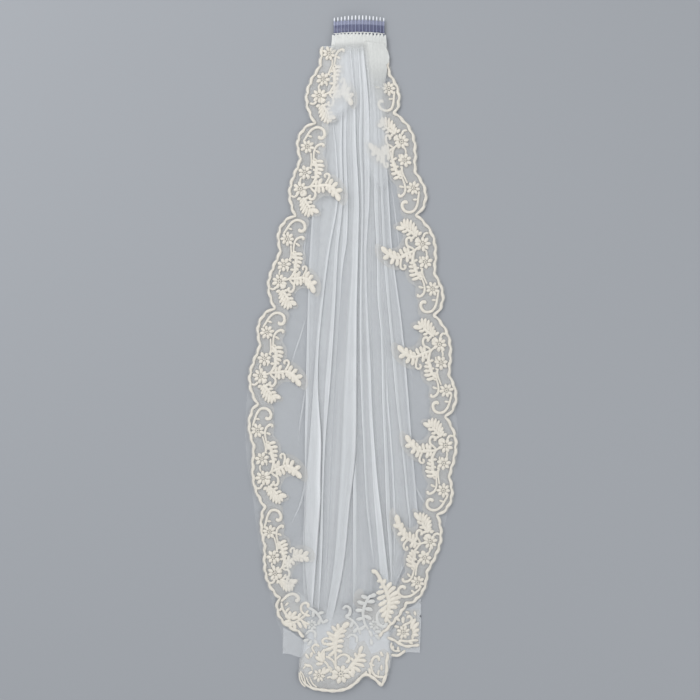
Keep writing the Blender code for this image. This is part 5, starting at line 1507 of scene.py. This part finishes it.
# ---------------------------------------------------------------- comb and heading
Station = namedtuple("Station", "along half thick")     # half width and half thickness of a tooth
TOOTH_STATIONS = (Station(0.0, TOOTH_HALF, 1.05), Station(8.0, 1.25, 1.05),
                  Station(18.0, 1.2, 1.05), Station(28.0, 1.15, 1.0), Station(33.0, 1.05, 0.95),
                  Station(35.2, 0.8, 0.75), Station(36.0, 0.4, 0.4))


def tooth_pitch(teeth):
    """Distance between the teeth, the outer ones flush with the comb's ends."""
    return (COMB_WIDTH - 2 * TOOTH_HALF) / (teeth - 1)


class VEIL_OT_comb(Operator):
    """Mould the clear comb: a bent spine and tapered, round-ended teeth"""

    bl_idname = "veil.comb"
    bl_label = "Comb"

    def execute(self, context):
        colours, sizes = context.scene.veil_colours, context.scene.veil_sizes
        shape = bmesh.new()
        pitch = tooth_pitch(sizes.teeth)
        left = COMB_X - COMB_WIDTH / 2
        root = SPINE_Y + SPINE_DEPTH - TOOTH_SUNK
        for k in range(sizes.teeth):
            x = FIRST_TOOTH + k * pitch
            end = TOOTH_END - TOOTH_BOW * ((x - COMB_X) / (COMB_WIDTH / 2)) ** 2
            stretch = (end - root) / TOOTH_STATIONS[-1].along
            made = bmesh.ops.create_circle(shape, cap_ends=True, segments=TOOTH_SIDES, radius=1.0)
            ring = made["verts"]
            face = ring[0].link_faces[0]
            self.place_ring(ring, x, root, TOOTH_STATIONS[0])
            for station in TOOTH_STATIONS[1:]:
                grown = bmesh.ops.extrude_face_region(shape, geom=[face])["geom"]
                ring_next = [item for item in grown if isinstance(item, bmesh.types.BMVert)]
                face = next(item for item in grown if isinstance(item, bmesh.types.BMFace))
                self.move_ring(ring_next, x, root + station.along * stretch, station)
        body = bmesh.ops.create_cube(shape, size=1.0)["verts"]
        bmesh.ops.scale(shape, verts=body, vec=(COMB_WIDTH, SPINE_DEPTH, SPINE_THICK))
        bmesh.ops.translate(shape, verts=body,
                            vec=(COMB_X, SPINE_Y + SPINE_DEPTH / 2, COMB_Z))
        edges = list(dict.fromkeys(edge for vert in body for edge in vert.link_edges))
        bmesh.ops.bevel(shape, geom=edges, affect="EDGES", offset=SPINE_ROUND, segments=3,
                        profile=0.5, material=-1)
        web = bmesh.ops.create_cube(shape, size=1.0)["verts"]
        bmesh.ops.scale(shape, verts=web,
                        vec=(COMB_WIDTH - 2 * WEB_INSET, WEB_TOP_Y - WEB_LOW_Y, WEB_THICK))
        bmesh.ops.translate(shape, verts=web,
                            vec=(COMB_X, (WEB_TOP_Y + WEB_LOW_Y) / 2, COMB_Z - WEB_DROP))
        for step in range(1, BEND_PARTS):
            x = left + COMB_WIDTH * step / BEND_PARTS
            bmesh.ops.bisect_plane(shape, geom=shape.verts[:] + shape.edges[:] + shape.faces[:],
                                   plane_co=(x, 0, 0), plane_no=(1, 0, 0))
        for vert in shape.verts:
            vert.co.z += arch(vert.co.x)
        bmesh.ops.scale(shape, verts=shape.verts, vec=(MM, MM, MM))
        bmesh.ops.recalc_face_normals(shape, faces=shape.faces)
        mesh = bpy.data.meshes.new("clear_comb")
        shape.to_mesh(mesh)
        shape.free()
        mesh.materials.append(plastic_material("clear_plastic", colours.comb,
                                               tuple(colours.comb_frost_and_highlight), colours.comb_cover,
                                               pitch))
        mesh.shade_smooth()
        piece = bpy.data.objects.new("clear_comb", mesh)
        bpy.context.scene.collection.objects.link(piece)
        finish_piece(piece, ("comb",))
        return {"FINISHED"}

    @staticmethod
    def place_ring(ring, x, y, station):
        """Stand a flat ring upright across a tooth."""
        for vert in ring:
            across, up = vert.co.x, vert.co.y
            vert.co = (x + across * station.half, y, COMB_Z + up * station.thick)
            vert.normal_update()

    @staticmethod
    def move_ring(ring, x, y, station):
        """Bring a tooth's newest ring to its place and size."""
        count = len(ring)
        centre_z = sum(vert.co.z for vert in ring) / count
        reach = max(abs(vert.co.x - x) for vert in ring)
        tall = max(abs(vert.co.z - centre_z) for vert in ring)
        for vert in ring:
            vert.co = (x + (vert.co.x - x) / reach * station.half, y,
                       COMB_Z + (vert.co.z - centre_z) / tall * station.thick)


Lip = namedtuple("Lip", "down up cover")        # down from the heading's upper lip, and its height
HEADING_FRONT = (Lip(0.2, 6.2, 0.95), Lip(1.2, 6.9, 1.0), Lip(3.5, 7.1, 1.0), Lip(7.0, 7.0, 1.0),
                 Lip(10.5, 6.9, 1.0), Lip(13.5, 6.7, 0.95), Lip(16.0, 6.4, 0.8),
                 Lip(19.0, 6.1, 0.58), Lip(23.0, 5.8, 0.34), Lip(28.0, 5.5, 0.14),
                 Lip(34.0, 5.3, 0.0))
HEADING_BACK = (Lip(14.9, 3.2, 0.9), Lip(14.6, 1.4, 0.95), Lip(12.5, 0.4, 1.0),
                Lip(9.0, 0.3, 1.0), Lip(5.0, 0.3, 1.0), Lip(1.5, 0.4, 1.0), Lip(0.3, 0.8, 0.95))
HEADING_FLARE = 0.1     # how much further out the gathers spread, for each step down
HOLE_DEPTH = 2.8        # the tulle is drawn down this far at each tooth's root
FLOUNCE = ((14.0, 484.0), (54.2, 484.0), (53.9, 478.5), (57.3, 472.0), (59.4, 464.0),
           (58.4, 456.0), (54.4, 451.5), (55.4, 445.5), (54.6, 436.0), (51.6, 421.5),
           (49.0, 398.0), (44.0, 380.0), (33.0, 382.0), (22.0, 414.0), (16.5, 450.0))
FLOUNCE_LIFT = 2.0      # the heading's loose edge lies this far above the lace, in small waves
FLOUNCE_WAVE = 0.5
FLOUNCE_COVER = 0.92
FLOUNCE_LOW_Y = 384.0   # it fades out towards its lower end over FLOUNCE_FADE
FLOUNCE_FADE = 82.0
FLOUNCE_LEFT = 14.0     # and towards its left side, which leans, over FLOUNCE_SIDE_FADE
FLOUNCE_LEAN = 0.12
FLOUNCE_SIDE_FADE = 14.0


def flounce_height(x, y):
    wave = FLOUNCE_WAVE * math.sin(x * 1.15 + y * 0.03)
    return lace_top(x, y) + FLOUNCE_LIFT + wave


def flounce_cover(x, y):
    side = x - FLOUNCE_LEFT - FLOUNCE_LEAN * (FLOUNCE[0][1] - y)
    down = smoothstep((y - FLOUNCE_LOW_Y) / FLOUNCE_FADE) * FLOUNCE_COVER
    return down * smoothstep(side / FLOUNCE_SIDE_FADE)


class VEIL_OT_heading(Operator):
    """Gather the tulle's top edge round the comb's spine and bind it with thread"""

    bl_idname = "veil.heading"
    bl_label = "Gathered Heading"

    def execute(self, context):
        colours, sizes = context.scene.veil_colours, context.scene.veil_sizes
        dice = random.Random(12)
        gathers = [0.0]
        for _ in range(sizes.gathers):
            gathers.append(gathers[-1] + dice.uniform(0.7, 1.3))
        width = HEADING_RIGHT - HEADING_LEFT
        stations = []
        for k in range(sizes.gathers):
            tall = dice.uniform(0.5, 1.1)
            for share, up in ((0.0, 0.0), (0.22, 0.55), (0.5, 1.0), (0.78, 0.55)):
                at = gathers[k] + share * (gathers[k + 1] - gathers[k])
                stations.append((HEADING_LEFT + width * at / gathers[-1], up * tall))
        stations.append((HEADING_RIGHT, 0.0))
        pitch = tooth_pitch(sizes.teeth)
        points, cover, faces = [], [], []
        for loop, outer in ((HEADING_FRONT, 1.0), (HEADING_BACK, 0.3)):
            first, ring = len(points), len(loop)
            for x, up in stations:
                shift = 0.3 * math.sin(x * 0.31) + 0.2 * math.sin(x * 0.83 + 1.0) + 0.3 * up
                hole = max(0.0, math.cos(math.tau * (x - FIRST_TOOTH) / pitch)) ** 2.5
                hole *= HOLE_DEPTH * (0.3 + 0.7 * smoothstep((x + 14.0) / 40.0))
                for k, lip in enumerate(loop):
                    spread = max(0.0, lip.down - 5.0) * HEADING_FLARE * outer
                    out = x + spread * (x - COMB_X) / ARCH_HALF
                    at_lip = (shift - hole) * max(0.0, 1.0 - lip.down / 7.0)
                    points.append((out, HEADING_HIGH_Y - lip.down + at_lip,
                                   lip.up + arch(x) + (up - 0.4) * 0.5 * outer))
                    # painted shade: a gather's hollow gets less cover than its top, so it shows
                    # darker
                    cover.append(lip.cover * (0.86 + 0.14 * up))
            faces += [(first + s * ring + k, first + s * ring + k + 1,
                       first + (s + 1) * ring + k + 1, first + (s + 1) * ring + k)
                      for s in range(len(stations) - 1) for k in range(ring - 1)]
        piece = add_piece("gathered_heading", points, faces,
                          gathered_material("gathered_tulle", colours.gathered), cover,
                          replaces=("heading",))
        flounce = Sheets()
        flounce.add(FLOUNCE, FLOUNCE_SPACING, flounce_height, flounce_cover)
        piece = add_piece("gathered_edge", flounce.points, flounce.faces,
                          gathered_material("gathered_edge", colours.gathered), flounce.cover)
        binding = Embroidery(lambda x, y: HEADING_HEIGHT - 0.6 + arch(x), 1.0)
        binding.stroke([(HEADING_LEFT + 2.0 + (width - 4.0) * k / 24,
                         HEADING_HIGH_Y + 1.3 + 0.25 * math.sin(k * 1.9)) for k in range(25)],
                       (0.65, 0.75, 0.65), lift=1.3)
        for k in range(sizes.teeth - 1):
            x = FIRST_TOOTH + (k + 0.5) * pitch
            base = HEADING_HEIGHT + arch(x) - 0.1
            binding.surface = lambda px, py, top=base: top
            binding.stroke(((x, HEADING_HIGH_Y + 1.4), (x, 496.5), (x + 0.2, 492.0)),
                           (1.3, 1.7, 1.3, 0.7), lift=0.9)
        binding.piece("binding_thread", thread_material("binding_thread", colours.gathered,
                                                        sizes.thread_pitch))
        return {"FINISHED"}


# ---------------------------------------------------------------- stage
VIEW_X, VIEW_Y, VIEW_HEIGHT = -0.0024, 0.0055, 1.5277       # in metres, looking straight down
LENS = 50.0
SENSOR = 36.0
FLOOR_SIZE = 16.0
ROOM_COLOUR = (0.96, 0.98, 1.0, 1.0)
ROOM_STRENGTH = 0.7
SoftLight = namedtuple("SoftLight", "name place aim size power")
LIGHTS = (SoftLight("key", (-1.3, 1.2, 1.7), (0.0, 0.0, 0.0), 1.6, 28.0),
          SoftLight("fill", (1.6, -0.6, 1.6), (0.0, 0.0, 0.0), 2.0, 11.0))


class VEIL_OT_stage(Operator):
    """Set the camera, the soft light and the plain floor"""

    bl_idname = "veil.stage"
    bl_label = "Stage"

    def execute(self, context):
        scene = context.scene
        view = bpy.data.cameras.new("camera")
        view.lens = LENS
        view.sensor_width = SENSOR
        view.clip_start = 0.01
        camera = bpy.data.objects.new("camera", view)
        camera.location = (VIEW_X, VIEW_Y, VIEW_HEIGHT)
        scene.collection.objects.link(camera)
        scene.camera = camera
        for row in LIGHTS:
            data = bpy.data.lights.new(row.name, "AREA")
            data.size = row.size
            data.energy = row.power
            lamp = bpy.data.objects.new(row.name, data)
            lamp.location = row.place
            aim = Vector(row.aim) - Vector(row.place)
            lamp.rotation_euler = aim.to_track_quat("-Z", "Y").to_euler()
            scene.collection.objects.link(lamp)
        shape = bmesh.new()
        bmesh.ops.create_grid(shape, x_segments=1, y_segments=1, size=FLOOR_SIZE)
        mesh = bpy.data.meshes.new("floor")
        shape.to_mesh(mesh)
        shape.free()
        mesh.materials.append(floor_material("floor", scene.veil_colours.floor))
        floor = bpy.data.objects.new("floor", mesh)
        scene.collection.objects.link(floor)
        world = bpy.data.worlds.new("soft_room")
        world.use_nodes = True
        background = world.node_tree.nodes["Background"]
        background.inputs["Color"].default_value = ROOM_COLOUR
        background.inputs["Strength"].default_value = ROOM_STRENGTH
        scene.world = world
        scene.view_settings.view_transform = "Standard"
        return {"FINISHED"}


class VEIL_PT_panel(Panel):
    """Sizes, colours and steps of the veil"""

    bl_label = "Bridal Veil"
    bl_space_type = "VIEW_3D"
    bl_region_type = "UI"
    bl_category = "Veil"

    def draw(self, context):
        for group in (context.scene.veil_sizes, context.scene.veil_colours):
            box = self.layout.box()
            for name in group.__annotations__:
                box.prop(group, name)
        for operator in OPERATORS:
            self.layout.operator(operator.bl_idname)


OPERATORS = (VEIL_OT_stage, VEIL_OT_layers, VEIL_OT_hidden, VEIL_OT_pleats, VEIL_OT_lace,
             VEIL_OT_haze, VEIL_OT_comb, VEIL_OT_heading)
CLASSES = (VeilSizes, VeilColours, *OPERATORS, VEIL_PT_panel)


def register():
    for item in CLASSES:
        bpy.utils.register_class(item)
    bpy.types.Scene.veil_sizes = PointerProperty(type=VeilSizes)
    bpy.types.Scene.veil_colours = PointerProperty(type=VeilColours)


def unregister():
    del bpy.types.Scene.veil_colours
    del bpy.types.Scene.veil_sizes
    for item in reversed(CLASSES):
        bpy.utils.unregister_class(item)


def main():
    register()
    bpy.ops.veil.stage()
    bpy.ops.veil.layers()
    bpy.ops.veil.hidden()
    bpy.ops.veil.pleats()
    bpy.ops.veil.lace()
    bpy.ops.veil.haze()
    bpy.ops.veil.comb()
    bpy.ops.veil.heading()


if __name__ == "__main__":
    main()
